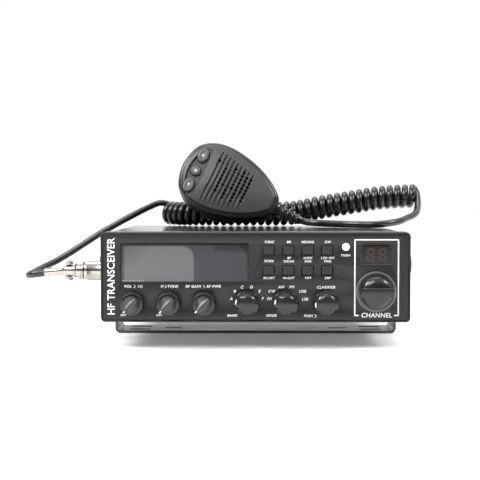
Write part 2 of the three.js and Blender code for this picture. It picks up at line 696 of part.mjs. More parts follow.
function microphone() {
  const mic = new THREE.Group();
  const lean = THREE.MathUtils.degToRad(MIC_LEAN);
  const turn = THREE.MathUtils.degToRad(MIC_TURN);
  const w = new THREE.Vector3(0, -Math.cos(lean), Math.sin(lean));
  const up = new THREE.Vector3(0, Math.sin(lean), Math.cos(lean));
  const right = new THREE.Vector3(1, 0, 0);
  const u = right.clone().multiplyScalar(Math.cos(turn)).addScaledVector(up, -Math.sin(turn));
  const v = right.clone().multiplyScalar(Math.sin(turn)).addScaledVector(up, Math.cos(turn));
  mic.quaternion.setFromRotationMatrix(new THREE.Matrix4().makeBasis(u, v, w));
  mic.position.set(MIC_AT.x, caseY1 - MIC_AT.fromRear, coverZ1 + MIC_AT.aboveCover);
  model.add(mic);

  const half = FIT / 2;
  const bootAt = 36;
  const bootHole = new THREE.CylinderGeometry(4, 4, 14, 16);
  bootHole.rotateZ(Math.PI / 2);
  bootHole.translate(bootAt + 1, 0, 0);
  // the bar swings about its end nearest the cord, so the other end has more room
  const pttCut = new THREE.BoxGeometry(pttAlong[1] - pttAlong[0] + 4 * FIT, 14, 12);
  pttCut.translate((pttAlong[0] + pttAlong[1]) / 2 - FIT, -27.5, 0);

  // front shell with its button openings, speaking slots and hollow back
  let front = micSlab(0, half, MIC_FRONT_T, MIC_EDGE);
  front = front.subtract(micSlab(-MIC_WALL, half - DROP, MIC_FRONT_T - MIC_WALL, 1));
  const buttons = [
    { name: 'mic_up_button', v: 11.5, a: 6, b: 4.3 },
    { name: 'mic_centre_button', v: -2.1, a: 3.9, b: 3.9 },
    { name: 'mic_down_button', v: -14.4, a: 5.7, b: 4.2 },
  ];
  const buttonU = -26.8;
  const oval = (b, grow) => {
    const shape = new THREE.Shape();
    shape.absellipse(buttonU, b.v, b.b + grow, b.a + grow, 0, Math.PI * 2, false, 0);
    return shape;
  };
  for (const b of buttons) {
    const g = new THREE.ExtrudeGeometry(oval(b, FIT), {
      depth: 2 * DROP + MIC_WALL, bevelEnabled: false, curveSegments: 5,
    });
    g.translate(0, 0, MIC_FRONT_T - MIC_WALL - DROP);
    front = front.subtract(solid(g));
  }
  const slotShift = -1.7; // the slots sit a little below the long axis
  for (let i = 0; i < 9; i++) {
    const su = -13.6 + i * 3.6;
    const sv = 21.3 - i * 0.88;
    const g = new THREE.BoxGeometry(1.1, 2 * sv, 2 * DROP + MIC_WALL);
    g.translate(su, slotShift, MIC_FRONT_T - MIC_WALL / 2);
    front = front.subtract(solid(g));
  }
  front = front.subtract(solid(bootHole)).subtract(solid(pttCut));
  add('mic_front_shell', front, 'micPlastic', mic);

  // rear shell with its hang-up stud
  let rear = micSlab(0, -half, -MIC_REAR_T, 6);
  rear = rear.subtract(micSlab(-MIC_WALL, -half + DROP, -MIC_REAR_T + MIC_WALL, 1));
  rear = rear.subtract(solid(bootHole)).subtract(solid(pttCut));
  const stud = new THREE.LatheGeometry([[0, 1], [3, 1], [3, -3], [6, -3], [6, -5], [5, -6], [0, -6]]
    .reverse().map(([r, h]) => new THREE.Vector2(r, h)), 16);
  stud.rotateX(Math.PI / 2);
  stud.translate(-6, 0, -MIC_REAR_T);
  rear = join(rear, solid(stud));
  add('mic_rear_shell', rear, 'micPlastic', mic);

  const buttonTop = MIC_FRONT_T + 0.5;
  for (const b of buttons) {
    const cap = new THREE.ExtrudeGeometry(oval(b, 0), {
      depth: MIC_WALL + 2, bevelEnabled: false, curveSegments: 5,
    });
    cap.translate(0, 0, buttonTop - MIC_WALL - 2);
    const lip = new THREE.ExtrudeGeometry(oval(b, 0.5), {
      depth: 1, bevelEnabled: false, curveSegments: 5,
    });
    lip.translate(0, 0, MIC_FRONT_T - MIC_WALL - FIT - 1);
    add(b.name, join(solid(cap), solid(lip)), 'rubber', mic);
  }

  // push-to-talk bar along the lower flank
  const bar = new THREE.BoxGeometry(pttAlong[1] - pttAlong[0], 8, 11.4);
  bar.translate((pttAlong[0] + pttAlong[1]) / 2, -26.3, 0);
  const skin = micSlab(2.2, -8, 8, 1.5);
  add('push_to_talk', solid(bar).intersect(skin), 'rubber', mic);

  // microphone insert behind the slots
  const insert = new THREE.CylinderGeometry(7, 7, 6, 20);
  insert.rotateX(Math.PI / 2);
  insert.translate(0, 4, MIC_FRONT_T - MIC_WALL - FIT - 3);
  add('mic_capsule', solid(insert), 'steel', mic);

  // ribbed strain relief
  const start = bootAt;
  const ribs = [];
  for (let i = 0; i < 5; i++) {
    const r = 5.2 - i * 0.35;
    const x = 41.5 + i * 4;
    ribs.push([r, x], [r, x + 2.4], [r - 1.3, x + 2.4], [r - 1.3, x + 4]);
  }
  const bootEnd = 61.5;
  const profile = [[0, start], [5.2, start], [5.2, start + 2], [3.6, start + 2], [3.6, 41.5],
    ...ribs, [3.6, bootEnd], [0, bootEnd]];
  const boot = new THREE.LatheGeometry(profile.map(([r, h]) => new THREE.Vector2(r, h)), 10);
  boot.rotateZ(-Math.PI / 2);
  add('mic_strain_relief', solid(boot), 'rubber', mic);
}

// ---------------------------------------------------------------- plug

function plugAndSocket() {
  const x = -sideX;
  const nose = x - 7;
  const socket = turnedX(PLUG_Y, PLUG_Z, [
    [0, nose], [5.2, nose], [5.2, x + SHEET_T + FIT], [8, x + SHEET_T + FIT],
    [8, x + SHEET_T + FIT + 2], [5, x + SHEET_T + FIT + 2], [5, x + 12], [0, x + 12],
  ]);
  add('mic_socket', socket, 'steel');
  const ringStart = x - COVER_T - FIT * 2;
  const ringEnd = ringStart - PLUG_RING_L;
  const bodyEnd = ringEnd - PLUG_BODY_L;
  const bore = 5.2 + FIT;
  const ring = turnedX(PLUG_Y, PLUG_Z, [
    [bore, ringEnd], [PLUG_R - 0.4, ringEnd], [PLUG_R + 0.3, ringEnd + 1],
    [PLUG_R + 0.3, ringStart - 1], [PLUG_R - 0.2, ringStart], [bore, ringStart], [bore, ringEnd],
  ], 20);
  add('plug_ring', ring, 'steel');
  const neck = bore - FIT;
  const body = turnedX(PLUG_Y, PLUG_Z, [
    [0, bodyEnd], [PLUG_R - 0.5, bodyEnd], [PLUG_R, bodyEnd + 0.6], [PLUG_R, ringEnd - FIT],
    [neck, ringEnd - FIT], [neck, nose - FIT], [0, nose - FIT],
  ], 20);
  add('plug_body', body, 'steel');
  const clampStart = bodyEnd - FIT;
  const clamp = turnedX(PLUG_Y, PLUG_Z, [
    [0, clampStart - PLUG_CLAMP_L], [CORD_R + 0.5, clampStart - PLUG_CLAMP_L],
    [CORD_R + 0.5, clampStart - 8.3], [4.6, clampStart - 7.6],
    [5.4, clampStart - 6], [5.4, clampStart], [0, clampStart],
  ], 20);
  const lug = box(clampStart - 6.6, clampStart - 2, PLUG_Y - 3, PLUG_Y + 3, PLUG_Z - 6.4, PLUG_Z + 6.4);
  add('plug_clamp', join(clamp, lug), 'steel');
  return clampStart - PLUG_CLAMP_L;
}

// ---------------------------------------------------------------- cord

// A round tube along a smooth curve through points, cut square at both ends.
function cordTube(points, radius, sides, step) {
  const curve = new THREE.CatmullRomCurve3(points.map((p) => new THREE.Vector3(...p)), false, 'centripetal');
  const shape = new THREE.Shape();
  for (let i = 0; i < sides; i++) {
    const a = (i / sides) * Math.PI * 2;
    const p = [Math.cos(a) * radius, Math.sin(a) * radius];
    if (i) {
      shape.lineTo(...p);
    } else {
      shape.moveTo(...p);
    }
  }
  const steps = Math.max(4, Math.round(curve.getLength() / step));
  return new THREE.ExtrudeGeometry(shape, { extrudePath: curve, steps, bevelEnabled: false });
}

// The paths are drawn for a cover this high and this far back, and for a lead this thick.
const DRAWN_COVER = 74.2;
const DRAWN_REAR = 99.3;
const DRAWN_CORD_R = 2.6;
const LEAD_STEP = 11;
const CURL_STEP = 22;
const CURL_SIDES = 12;
const coverRise = coverZ1 - DRAWN_COVER;
const leadRise = coverRise + CORD_R - DRAWN_CORD_R;
const micLead = [
  [34.9, 59.1, 79.2], [40, 58.3, 77.3], [48, 54, 76.9], [60, 42, 76.9], [74, 30, 76.9],
  [90, 24, 77.0], [106, 30, 78.6], [116.3, 45, 81.3], [123.7, 58, 84.3], [127.5, 73, 89.6],
  [129.6, 84, 95.5], [130.2, 87, 99.4],
];
const curlAxis = [
  [-66.5, 103, 84.2], [-60, 96.5, 84], [-52, 91, 84], [-44, 88.6, 84], [-34, 88, 84], [0, 88, 84],
  [30, 88, 84.6], [52.4, 88, 89], [77.1, 88, 93], [94.8, 88, 96], [113, 88, 97.5], [125.5, 88, 98],
];
const plugLead = [
  [-75.4, 97.4, 91.2], [-81.4, 96, 90.1], [-92.5, 91.5, 85.7], [-102.9, 82.5, 80],
  [-111.6, 71, 74.7], [-120.1, 58, 69.4], [-128.5, 40, 63.1], [-137, 22, 56.8], [-144.7, 4, 51.4],
  [-151.9, -15, 47.5], [-156.9, -36, 45], [-157.2, -48, 44.6], [-154.4, -57, 45.9],
  [-149.8, -59.95, 47.2], [-144.1, -60, 47.5],
];

function onCover(points, rise) {
  return points.map(([x, y, z]) => [x, y + caseY1 - DRAWN_REAR, z + rise]);
}

// Moves the end of a path to a place; the points near its start follow only in part.
const LEAD_SETTLES = 6;
function drawnTo(points, end) {
  const last = points[points.length - 1];
  return points.map((p, i) => {
    const share = Math.min(1, i / LEAD_SETTLES);
    return p.map((v, axis) => v + share * (end[axis] - last[axis]));
  });
}

function cords(sleeveEnd) {
  const toPlug = drawnTo(onCover(plugLead, coverRise), [sleeveEnd - FIT, PLUG_Y, PLUG_Z]);
  const fromMic = cordTube(onCover(micLead, leadRise), CORD_R, CORD_SIDES, LEAD_STEP);
  const curl = cordTube(onCover(curlAxis, coverRise), CURL_R, CURL_SIDES, CURL_STEP);
  const fromCurl = cordTube(toPlug, CORD_R, CORD_SIDES, LEAD_STEP);
  add('cord_mic_lead', solid(fromMic), 'cordRubber');
  add('cord_curl', solid(curl), 'cordRubber');
  add('cord_plug_lead', solid(fromCurl), 'cordRubber');
}

// ---------------------------------------------------------------- assembly

bracket();
thumbScrew('thumb_screw_left', -1);
thumbScrew('thumb_screw_right', 1);
chassis();
topCover();
bottomCover();
loudspeaker();
heatSink();
rearSockets();
mainBoard();
frontPanel();
windowsAndLamps();
frontBoard();
frontKeys();
rotaryControls();
microphone();
cords(plugAndSocket());

export default model;
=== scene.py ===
import json
import math

import bmesh
import bpy
from mathutils import Matrix, Vector


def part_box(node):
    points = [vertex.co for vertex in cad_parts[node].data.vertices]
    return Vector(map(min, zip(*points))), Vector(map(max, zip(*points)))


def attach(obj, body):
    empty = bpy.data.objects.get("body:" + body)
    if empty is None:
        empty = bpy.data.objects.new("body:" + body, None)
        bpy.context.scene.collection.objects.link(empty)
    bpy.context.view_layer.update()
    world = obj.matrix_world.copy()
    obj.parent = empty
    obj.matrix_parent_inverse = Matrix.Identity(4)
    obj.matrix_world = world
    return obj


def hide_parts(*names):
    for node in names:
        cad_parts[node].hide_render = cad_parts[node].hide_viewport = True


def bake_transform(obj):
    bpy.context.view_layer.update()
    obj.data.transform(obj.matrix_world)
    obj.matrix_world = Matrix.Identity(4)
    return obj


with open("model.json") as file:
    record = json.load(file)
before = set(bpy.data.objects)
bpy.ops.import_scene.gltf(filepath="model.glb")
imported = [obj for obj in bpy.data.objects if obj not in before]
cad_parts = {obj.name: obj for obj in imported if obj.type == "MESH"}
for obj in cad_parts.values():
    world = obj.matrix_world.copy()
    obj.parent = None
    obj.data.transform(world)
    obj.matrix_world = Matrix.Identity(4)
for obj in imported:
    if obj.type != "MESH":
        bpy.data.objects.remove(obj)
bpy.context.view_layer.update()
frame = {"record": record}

mm = 0.001
record = frame["record"]


def lowHigh(node):
    # a node's corners at rest, in millimetres
    low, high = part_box(node)
    return [v / mm for v in low], [v / mm for v in high]


# camera, floor and light
view = {
    "distance": 800.0,  # from the panel's face to the lens
    "height": 100.4,  # above the standing surface
    "lens": 93.3,
    "pitch": 2.16,  # degrees down
    "yaw": 0.71,  # degrees to the left
}
panelLow, panelHigh = lowHigh("front_panel")
faceY = panelLow[1]

cameraData = bpy.data.cameras.new("studioCamera")
cameraData.lens = view["lens"]
cameraData.sensor_width = 36.0
cameraData.clip_start = 0.01
camera = bpy.data.objects.new("studioCamera", cameraData)
camera.location = (0, (faceY - view["distance"]) * mm, view["height"] * mm)
camera.rotation_euler = (math.radians(90 - view["pitch"]), 0, math.radians(view["yaw"]))
bpy.context.collection.objects.link(camera)
scene = bpy.context.scene
scene.camera = camera
scene.view_settings.view_transform = "Standard"

studio = {
    "worldStrength": 1.0,
    "floorLift": 0.16,  # keeps the paper white away from the radio
    "dimSide": 0.12,  # light from behind the viewer
    "floor": (0.96, 0.96, 0.96),
    "lights": [
        # name, place, aim, size, watts
        ("keyLight", (-1.25, -0.45, 1.25), (0, 0, 0.05), 0.7, 24),
        ("topLight", (0.0, 0.6, 1.6), (0, 0, 0.05), 1.4, 16),
        ("frontLight", (-0.55, -1.05, 1.15), (0, 0, 0.09), 0.8, 13),
        ("rightLight", (1.2, -0.4, 1.2), (0, 0, 0.05), 0.55, 14),
    ],
}


def mathNode(tree, operation, a, b=0.0, clamp=False):
    node = tree.nodes.new("ShaderNodeMath")
    node.operation = operation
    node.use_clamp = clamp
    for socket, value in zip(node.inputs, (a, b)):
        if isinstance(value, (int, float)):
            socket.default_value = value
        else:
            tree.links.new(value, socket)
    return node.outputs[0]


def makeStudio():
    world = bpy.data.worlds.new("studioWorld")
    world.use_nodes = True
    tree = world.node_tree
    background = tree.nodes["Background"]
    background.inputs["Strength"].default_value = studio["worldStrength"]
    # bright above and behind the radio, darker towards the viewer; always white to look at
    direction = tree.nodes.new("ShaderNodeSeparateXYZ")
    tree.links.new(tree.nodes.new("ShaderNodeTexCoord").outputs["Generated"], direction.inputs[0])
    ahead = mathNode(tree, "MULTIPLY", mathNode(tree, "ADD", direction.outputs["Y"], 0.35), 1.4, clamp=True)
    above = mathNode(tree, "MULTIPLY", mathNode(tree, "SUBTRACT", direction.outputs["Z"], 0.25), 2.5,
                     clamp=True)
    level = mathNode(tree, "MAXIMUM", ahead, above)
    level = mathNode(tree, "MAXIMUM", level, studio["dimSide"])
    level = mathNode(tree, "MAXIMUM", level, tree.nodes.new("ShaderNodeLightPath").outputs["Is Camera Ray"])
    tree.links.new(level, background.inputs["Color"])
    scene.world = world
    for name, place, aim, size, watts in studio["lights"]:
        data = bpy.data.lights.new(name, "AREA")
        data.shape = "DISK"
        data.size = size
        data.energy = watts
        light = bpy.data.objects.new(name, data)
        light.location = place
        light.rotation_euler = (Vector(aim) - Vector(place)).to_track_quat("-Z", "Y").to_euler()
        bpy.context.collection.objects.link(light)
    bm = bmesh.new()
    half = 4.0
    for x, y in ((-half, -half), (half, -half), (half, half), (-half, half)):
        bm.verts.new((x, y, 0))
    bm.faces.new(bm.verts)
    mesh = bpy.data.meshes.new("studioFloor")
    bm.to_mesh(mesh)
    bm.free()
    floor = bpy.data.objects.new("studioFloor", mesh)
    bpy.context.collection.objects.link(floor)
    paper = bpy.data.materials.new("palePaper")
    paper.use_nodes = True
    shader = paper.node_tree.nodes["Principled BSDF"]
    shader.inputs["Base Color"].default_value = (*studio["floor"], 1)
    shader.inputs["Roughness"].default_value = 0.6
    shader.inputs["Emission Color"].default_value = (1, 1, 1, 1)
    shader.inputs["Emission Strength"].default_value = studio["floorLift"]
    mesh.materials.append(paper)


makeStudio()
print("studio ready")


# shader groups
def newGroup(name, inputs, outputs):
    group = bpy.data.node_groups.new(name, "ShaderNodeTree")
    for label, kind, value in inputs:
        socket = group.interface.new_socket(label, in_out="INPUT", socket_type=kind)
        socket.default_value = value
    for label, kind in outputs:
        group.interface.new_socket(label, in_out="OUTPUT", socket_type=kind)
    return group, group.nodes.new("NodeGroupInput"), group.nodes.new("NodeGroupOutput")


def noiseNode(tree, vector, scale, detail=3.0, rough=0.55):
    node = tree.nodes.new("ShaderNodeTexNoise")
    node.inputs["Detail"].default_value = detail
    node.inputs["Roughness"].default_value = rough
    tree.links.new(vector, node.inputs["Vector"])
    if isinstance(scale, (int, float)):
        node.inputs["Scale"].default_value = scale
    else:
        tree.links.new(scale, node.inputs["Scale"])
    return node.outputs["Fac"]


def makeGrainGroup():
    # fine moulded or sprayed texture: a height and a slow patchiness
    group, inside, out = newGroup("mouldedGrain", [
        ("Vector", "NodeSocketVector", (0, 0, 0)), ("Scale", "NodeSocketFloat", 900.0),
        ("Patch Scale", "NodeSocketFloat", 40.0)],
        [("Height", "NodeSocketFloat"), ("Patch", "NodeSocketFloat")])
    fine = noiseNode(group, inside.outputs["Vector"], inside.outputs["Scale"], 2.0, 0.6)
    cells = group.nodes.new("ShaderNodeTexVoronoi")
    group.links.new(inside.outputs["Vector"], cells.inputs["Vector"])
    group.links.new(inside.outputs["Scale"], cells.inputs["Scale"])
    height = mathNode(group, "MULTIPLY", fine, 0.6)
    height = mathNode(group, "ADD", height, mathNode(group, "MULTIPLY", cells.outputs["Distance"], 0.4))
    group.links.new(height, out.inputs["Height"])
    patch = noiseNode(group, inside.outputs["Vector"], inside.outputs["Patch Scale"], 4.0, 0.6)
    group.links.new(patch, out.inputs["Patch"])
    return group


def makeWearAndHighlightGroup():
    # rubbed corners and a painted edge highlight: a mask that rises where the surface turns outwards,
    # lightening the edges
    group, inside, out = newGroup("rubbedEdgesAndHighlight", [
        ("Vector", "NodeSocketVector", (0, 0, 0)), ("Amount", "NodeSocketFloat", 0.5)],
        [("Mask", "NodeSocketFloat")])
    geometry = group.nodes.new("ShaderNodeNewGeometry")
    rounded = group.nodes.new("ShaderNodeBevel")
    rounded.samples = 4
    rounded.inputs["Radius"].default_value = 0.35 * mm
    likeness = group.nodes.new("ShaderNodeVectorMath")
    likeness.operation = "DOT_PRODUCT"
    group.links.new(rounded.outputs[0], likeness.inputs[0])
    group.links.new(geometry.outputs["Normal"], likeness.inputs[1])
    edge = mathNode(group, "SUBTRACT", 0.985, likeness.outputs["Value"])
    edge = mathNode(group, "MULTIPLY", edge, 7.0, clamp=True)
    patches = noiseNode(group, inside.outputs["Vector"], 260.0, 4.0, 0.7)
    edge = mathNode(group, "MULTIPLY", edge, patches)
    edge = mathNode(group, "MULTIPLY", edge, inside.outputs["Amount"], clamp=True)
    group.links.new(edge, out.inputs["Mask"])
    return group


def makeDustGroup():
    # a thin film of dust on what faces up
    group, inside, out = newGroup("settledDust", [
        ("Vector", "NodeSocketVector", (0, 0, 0)), ("Amount", "NodeSocketFloat", 0.1)],
        [("Mask", "NodeSocketFloat")])
    geometry = group.nodes.new("ShaderNodeNewGeometry")
    split = group.nodes.new("ShaderNodeSeparateXYZ")
    group.links.new(geometry.outputs["Normal"], split.inputs[0])
    facing = mathNode(group, "MAXIMUM", split.outputs["Z"], 0.0)
    specks = noiseNode(group, inside.outputs["Vector"], 420.0, 5.0, 0.75)
    mask = mathNode(group, "MULTIPLY", facing, specks)
    mask = mathNode(group, "MULTIPLY", mask, inside.outputs["Amount"], clamp=True)
    group.links.new(mask, out.inputs["Mask"])
    return group


grainGroup = makeGrainGroup()
wearAndHighlightGroup = makeWearAndHighlightGroup()
dustGroup = makeDustGroup()


def placeGroup(tree, group, **values):
    node = tree.nodes.new("ShaderNodeGroup")
    node.node_tree = group
    for label, value in values.items():
        socket = node.inputs[label.replace("_", " ")]
        if isinstance(value, (int, float)):
            socket.default_value = value
        else:
            tree.links.new(value, socket)
    return node


def mixColour(tree, mask, a, b):
    node = tree.nodes.new("ShaderNodeMix")
    node.data_type = "RGBA"
    tree.links.new(mask, node.inputs["Factor"])
    for socket, value in ((node.inputs["A"], a), (node.inputs["B"], b)):
        if isinstance(value, tuple):
            socket.default_value = (*value, 1)
        else:
            tree.links.new(value, socket)
    return node.outputs["Result"]


def finish(name, look):
    # one finished surface from a dictionary of what a user would change
    material = bpy.data.materials.new(name)
    material.use_nodes = True
    tree = material.node_tree
    shader = tree.nodes["Principled BSDF"]
    coords = tree.nodes.new("ShaderNodeTexCoord").outputs["Object"]
    stretch = look.get("stretch")
    if stretch:
        mapping = tree.nodes.new("ShaderNodeMapping")
        mapping.inputs["Scale"].default_value = stretch
        tree.links.new(coords, mapping.inputs["Vector"])
        coords = mapping.outputs["Vector"]
    grain = placeGroup(tree, grainGroup, Vector=coords, Scale=look.get("grainScale", 900.0),
                       Patch_Scale=look.get("patchScale", 40.0))
    colour = look["colour"]
    spread = look.get("spread", 0.12)
    dark = tuple(c * (1 - spread) for c in colour)
    light = tuple(min(1.0, c * (1 + spread)) for c in colour)
    mixed = mixColour(tree, grain.outputs["Patch"], dark, light)
    # lighter edges: rubbed wear and a painted edge highlight
    if look.get("wearAndHighlight"):
        wearAndHighlight = placeGroup(tree, wearAndHighlightGroup, Vector=coords, Amount=look["wearAndHighlight"])
        mixed = mixColour(tree, wearAndHighlight.outputs["Mask"], mixed, look.get("wornColour", (0.35, 0.35, 0.36)))
    if look.get("dust"):
        dust = placeGroup(tree, dustGroup, Vector=coords, Amount=look["dust"])
        mixed = mixColour(tree, dust.outputs["Mask"], mixed, (0.5, 0.49, 0.47))
    tree.links.new(mixed, shader.inputs["Base Color"])
    rough = look.get("rough", 0.45)
    swing = look.get("roughSwing", 0.12)
    level = mathNode(tree, "MULTIPLY", grain.outputs["Patch"], swing)
    level = mathNode(tree, "ADD", level, rough - swing / 2, clamp=True)
    tree.links.new(level, shader.inputs["Roughness"])
    shader.inputs["Metallic"].default_value = look.get("metal", 0.0)
    shader.inputs["Coat Weight"].default_value = look.get("coat", 0.0)
    shader.inputs["Coat Roughness"].default_value = look.get("coatRough", 0.1)
    shader.inputs["Specular IOR Level"].default_value = look.get("specular", 0.5)
    if look.get("transmission"):
        shader.inputs["Transmission Weight"].default_value = look["transmission"]
    # painted glow: emission that stands in for light on the surface
    if look.get("paintedGlow"):
        shader.inputs["Emission Color"].default_value = (*look["paintedGlow"], 1)
        shader.inputs["Emission Strength"].default_value = look.get("paintedGlowStrength", 1.0)
    bump = tree.nodes.new("ShaderNodeBump")
    bump.inputs["Strength"].default_value = look.get("bump", 0.2)
    bump.inputs["Distance"].default_value = look.get("bumpDepth", 0.02) * mm
    tree.links.new(grain.outputs["Height"], bump.inputs["Height"])
    tree.links.new(bump.outputs["Normal"], shader.inputs["Normal"])
    return material


looks = {
    "panelPlastic": {"colour": (0.009, 0.009, 0.010), "rough": 0.36, "grainScale": 1400, "bump": 0.25,
                     "specular": 0.4, "wearAndHighlight": 0.12, "dust": 0.03},
    "casePaint": {"colour": (0.016, 0.016, 0.017), "rough": 0.13, "grainScale": 700, "bump": 0.05,
                  "wearAndHighlight": 0.2, "dust": 0.05, "specular": 1.0},
    "bracketPaint": {"colour": (0.085, 0.087, 0.093), "rough": 0.32, "grainScale": 800, "bump": 0.15,
                     "wearAndHighlight": 0.4, "dust": 0.05, "metal": 0.75},
    "knobPlastic": {"colour": (0.010, 0.010, 0.011), "rough": 0.2, "roughSwing": 0.08, "grainScale": 1600,
                    "bump": 0.08, "wearAndHighlight": 0.15, "dust": 0.02},
    "innerKnobPlastic": {"colour": (0.028, 0.028, 0.030), "rough": 0.3, "roughSwing": 0.08,
                         "grainScale": 1600, "bump": 0.1, "wearAndHighlight": 0.15, "dust": 0.02},
    "keyRubber": {"colour": (0.014, 0.014, 0.015), "rough": 0.5, "grainScale": 1500, "bump": 0.2,
                  "specular": 0.4, "dust": 0.02},
    "micPlastic": {"colour": (0.040, 0.041, 0.044), "rough": 0.36, "grainScale": 1300, "bump": 0.4,
                   "bumpDepth": 0.04, "wearAndHighlight": 0.12, "dust": 0.03},
    # dark mic plastic, also used as painted shade on the front shell's sides and inside its cuts
    "micDark": {"colour": (0.011, 0.011, 0.012), "rough": 0.3, "grainScale": 1300, "bump": 0.25,
                "bumpDepth": 0.03, "wearAndHighlight": 0.12, "dust": 0.03},
    "micButton": {"colour": (0.07, 0.071, 0.075), "rough": 0.38, "grainScale": 1300, "bump": 0.15},
    "micRubber": {"colour": (0.009, 0.009, 0.010), "rough": 0.2, "grainScale": 1100, "bump": 0.06,
                  "specular": 0.7},
    "cordRubber": {"colour": (0.006, 0.006, 0.007), "rough": 0.27, "grainScale": 900, "bump": 0.03,
                   "spread": 0.12, "specular": 0.55},
    "nickel": {"colour": (0.40, 0.38, 0.345), "rough": 0.2, "metal": 1.0, "grainScale": 500, "bump": 0.06,
               "spread": 0.05},
    "aluminium": {"colour": (0.33, 0.335, 0.35), "rough": 0.38, "metal": 1.0, "grainScale": 300,
                  "stretch": (1, 1, 0.06), "bump": 0.25, "dust": 0.1},
    "zincSteel": {"colour": (0.27, 0.275, 0.285), "rough": 0.35, "metal": 1.0, "grainScale": 400,
                  "bump": 0.2},
    "boardGreen": {"colour": (0.012, 0.10, 0.035), "rough": 0.35, "grainScale": 250, "bump": 0.3},
    "lcdGlass": {"colour": (0.085, 0.086, 0.09), "rough": 0.12, "roughSwing": 0.04, "grainScale": 300,
                 "bump": 0.02, "specular": 0.35},
    "redLens": {"colour": (0.009, 0.005, 0.0045), "rough": 0.12, "roughSwing": 0.04, "grainScale": 300,
                "bump": 0.03, "specular": 0.35},
    "ghostSegment": {"colour": (0.034, 0.021, 0.017), "rough": 0.35, "bump": 0.05},
    "whiteInk": {"colour": (0.82, 0.82, 0.80), "rough": 0.55, "spread": 0.06, "grainScale": 2500,
                 "bump": 0.1},
    # its emission is a painted glow that brightens the milky lens
    "milkyLens": {"colour": (0.9, 0.9, 0.88), "rough": 0.2, "spread": 0.03, "bump": 0.03,
                  "paintedGlow": (1, 1, 0.98), "paintedGlowStrength": 0.45},
    "paperCone": {"colour": (0.05, 0.05, 0.052), "rough": 0.8, "grainScale": 500, "bump": 0.5},
    # near-black boxes that stand in for the shade inside screw slots: painted shade
    "paintedSlotShade": {"colour": (0.004, 0.004, 0.004), "rough": 0.7, "bump": 0.1},
    # lighter plastic for the channel knob's skirt; also the painted highlight along its bar
    "rimPlasticAndHighlight": {"colour": (0.10, 0.10, 0.105), "rough": 0.3, "bump": 0.1},
    "buttonMark": {"colour": (0.42, 0.42, 0.43), "rough": 0.4, "bump": 0.1},
}
paint = {name: finish(name, look) for name, look in looks.items()}
print("materials ready:", len(paint))


# mesh tools
alongY = Matrix(((1, 0, 0, 0), (0, 0, -1, 0), (0, 1, 0, 0), (0, 0, 0, 1)))  # drawn z points to -Y


def piece(name, bm, look, body, bevel=0.0, segments=2, angle=35, place=None, replaces=()):
    # bm is in millimetres; the piece is in metres, in the frame's own place
    if place is not None:
        bmesh.ops.transform(bm, matrix=place, verts=bm.verts)
    bmesh.ops.scale(bm, vec=(mm, mm, mm), verts=bm.verts)
    bmesh.ops.remove_doubles(bm, verts=bm.verts, dist=0.2e-6)
    bmesh.ops.recalc_face_normals(bm, faces=bm.faces)
    mesh = bpy.data.meshes.new(name)
    bm.to_mesh(mesh)
    bm.free()
    obj = bpy.data.objects.new(name, mesh)
    bpy.context.collection.objects.link(obj)
    names = look if isinstance(look, (list, tuple)) else [look]
    for one in names:
        mesh.materials.append(paint[one])
    mesh.polygons.foreach_set("use_smooth", [True] * len(mesh.polygons))
    mesh.set_sharp_from_angle(angle=math.radians(angle))
    if bevel:
        modifier = obj.modifiers.new("softEdges", "BEVEL")
        modifier.width = bevel * mm
        modifier.segments = segments
        modifier.limit_method = "ANGLE"
        modifier.angle_limit = math.radians(40)
        modifier.harden_normals = False
    if body:
        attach(obj, body)
    if replaces:
        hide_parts(*replaces)
    return obj


def addRings(bm, rings, capStart=True, capEnd=True, closed=True, slot=0):
    # skin a list of rings that have the same number of points
    rows = [[bm.verts.new(p) for p in ring] for ring in rings]
    count = len(rows[0])
    last = count if closed else count - 1
    for a, b in zip(rows, rows[1:]):
        for i in range(last):
            j = (i + 1) % count
            bm.faces.new((a[i], a[j], b[j], b[i])).material_index = slot
    if capStart:
        bm.faces.new(rows[0][::-1]).material_index = slot
    if capEnd:
        bm.faces.new(rows[-1]).material_index = slot
    return rows


def addTurned(bm, profile, sides=48, flute=None, slot=0, start=0.0):
    # turned about the drawn z axis; profile is [radius, z]; flute(angle, z) adds to the radius
    rings = []
    for r, z in profile:
        ring = []
        for i in range(sides):
            a = start + i / sides * math.tau
            rr = max(r + (flute(a, z) if flute and r > 0.01 else 0.0), 0.001)
            ring.append((math.cos(a) * rr, math.sin(a) * rr, z))
        rings.append(ring)
    addRings(bm, rings, slot=slot)


def addPrism(bm, outline, z0, z1, slot=0):
    rings = [[(x, y, z) for x, y in outline] for z in (z0, z1)]
    addRings(bm, rings, slot=slot)


def addBox(bm, low, high, slot=0):
    outline = [(low[0], low[1]), (high[0], low[1]), (high[0], high[1]), (low[0], high[1])]
    addPrism(bm, outline, low[2], high[2], slot)


def roundedRect(x0, x1, y0, y1, r, steps=5):
    points = []
    for cx, cy, start in ((x1 - r, y0 + r, -90), (x1 - r, y1 - r, 0), (x0 + r, y1 - r, 90),
                          (x0 + r, y0 + r, 180)):
        for i in range(steps + 1):
            a = math.radians(start + 90 * i / steps)
            points.append((cx + r * math.cos(a), cy + r * math.sin(a)))
    return points


def circle(x, y, r, steps=40, ry=None):
    ry = ry or r
    return [(x + r * math.cos(i / steps * math.tau), y + ry * math.sin(i / steps * math.tau))
            for i in range(steps)]


def curveMesh(curve):
    # the filled mesh of a flat curve or text, as a bmesh
    obj = bpy.data.objects.new("drawing", curve)
    bpy.context.collection.objects.link(obj)
    graph = bpy.context.evaluated_depsgraph_get()
    mesh = bpy.data.meshes.new_from_object(obj.evaluated_get(graph))
    bm = bmesh.new()
    bm.from_mesh(mesh)
    bpy.data.objects.remove(obj)
    bpy.data.curves.remove(curve)
    bpy.data.meshes.remove(mesh)
    return bm


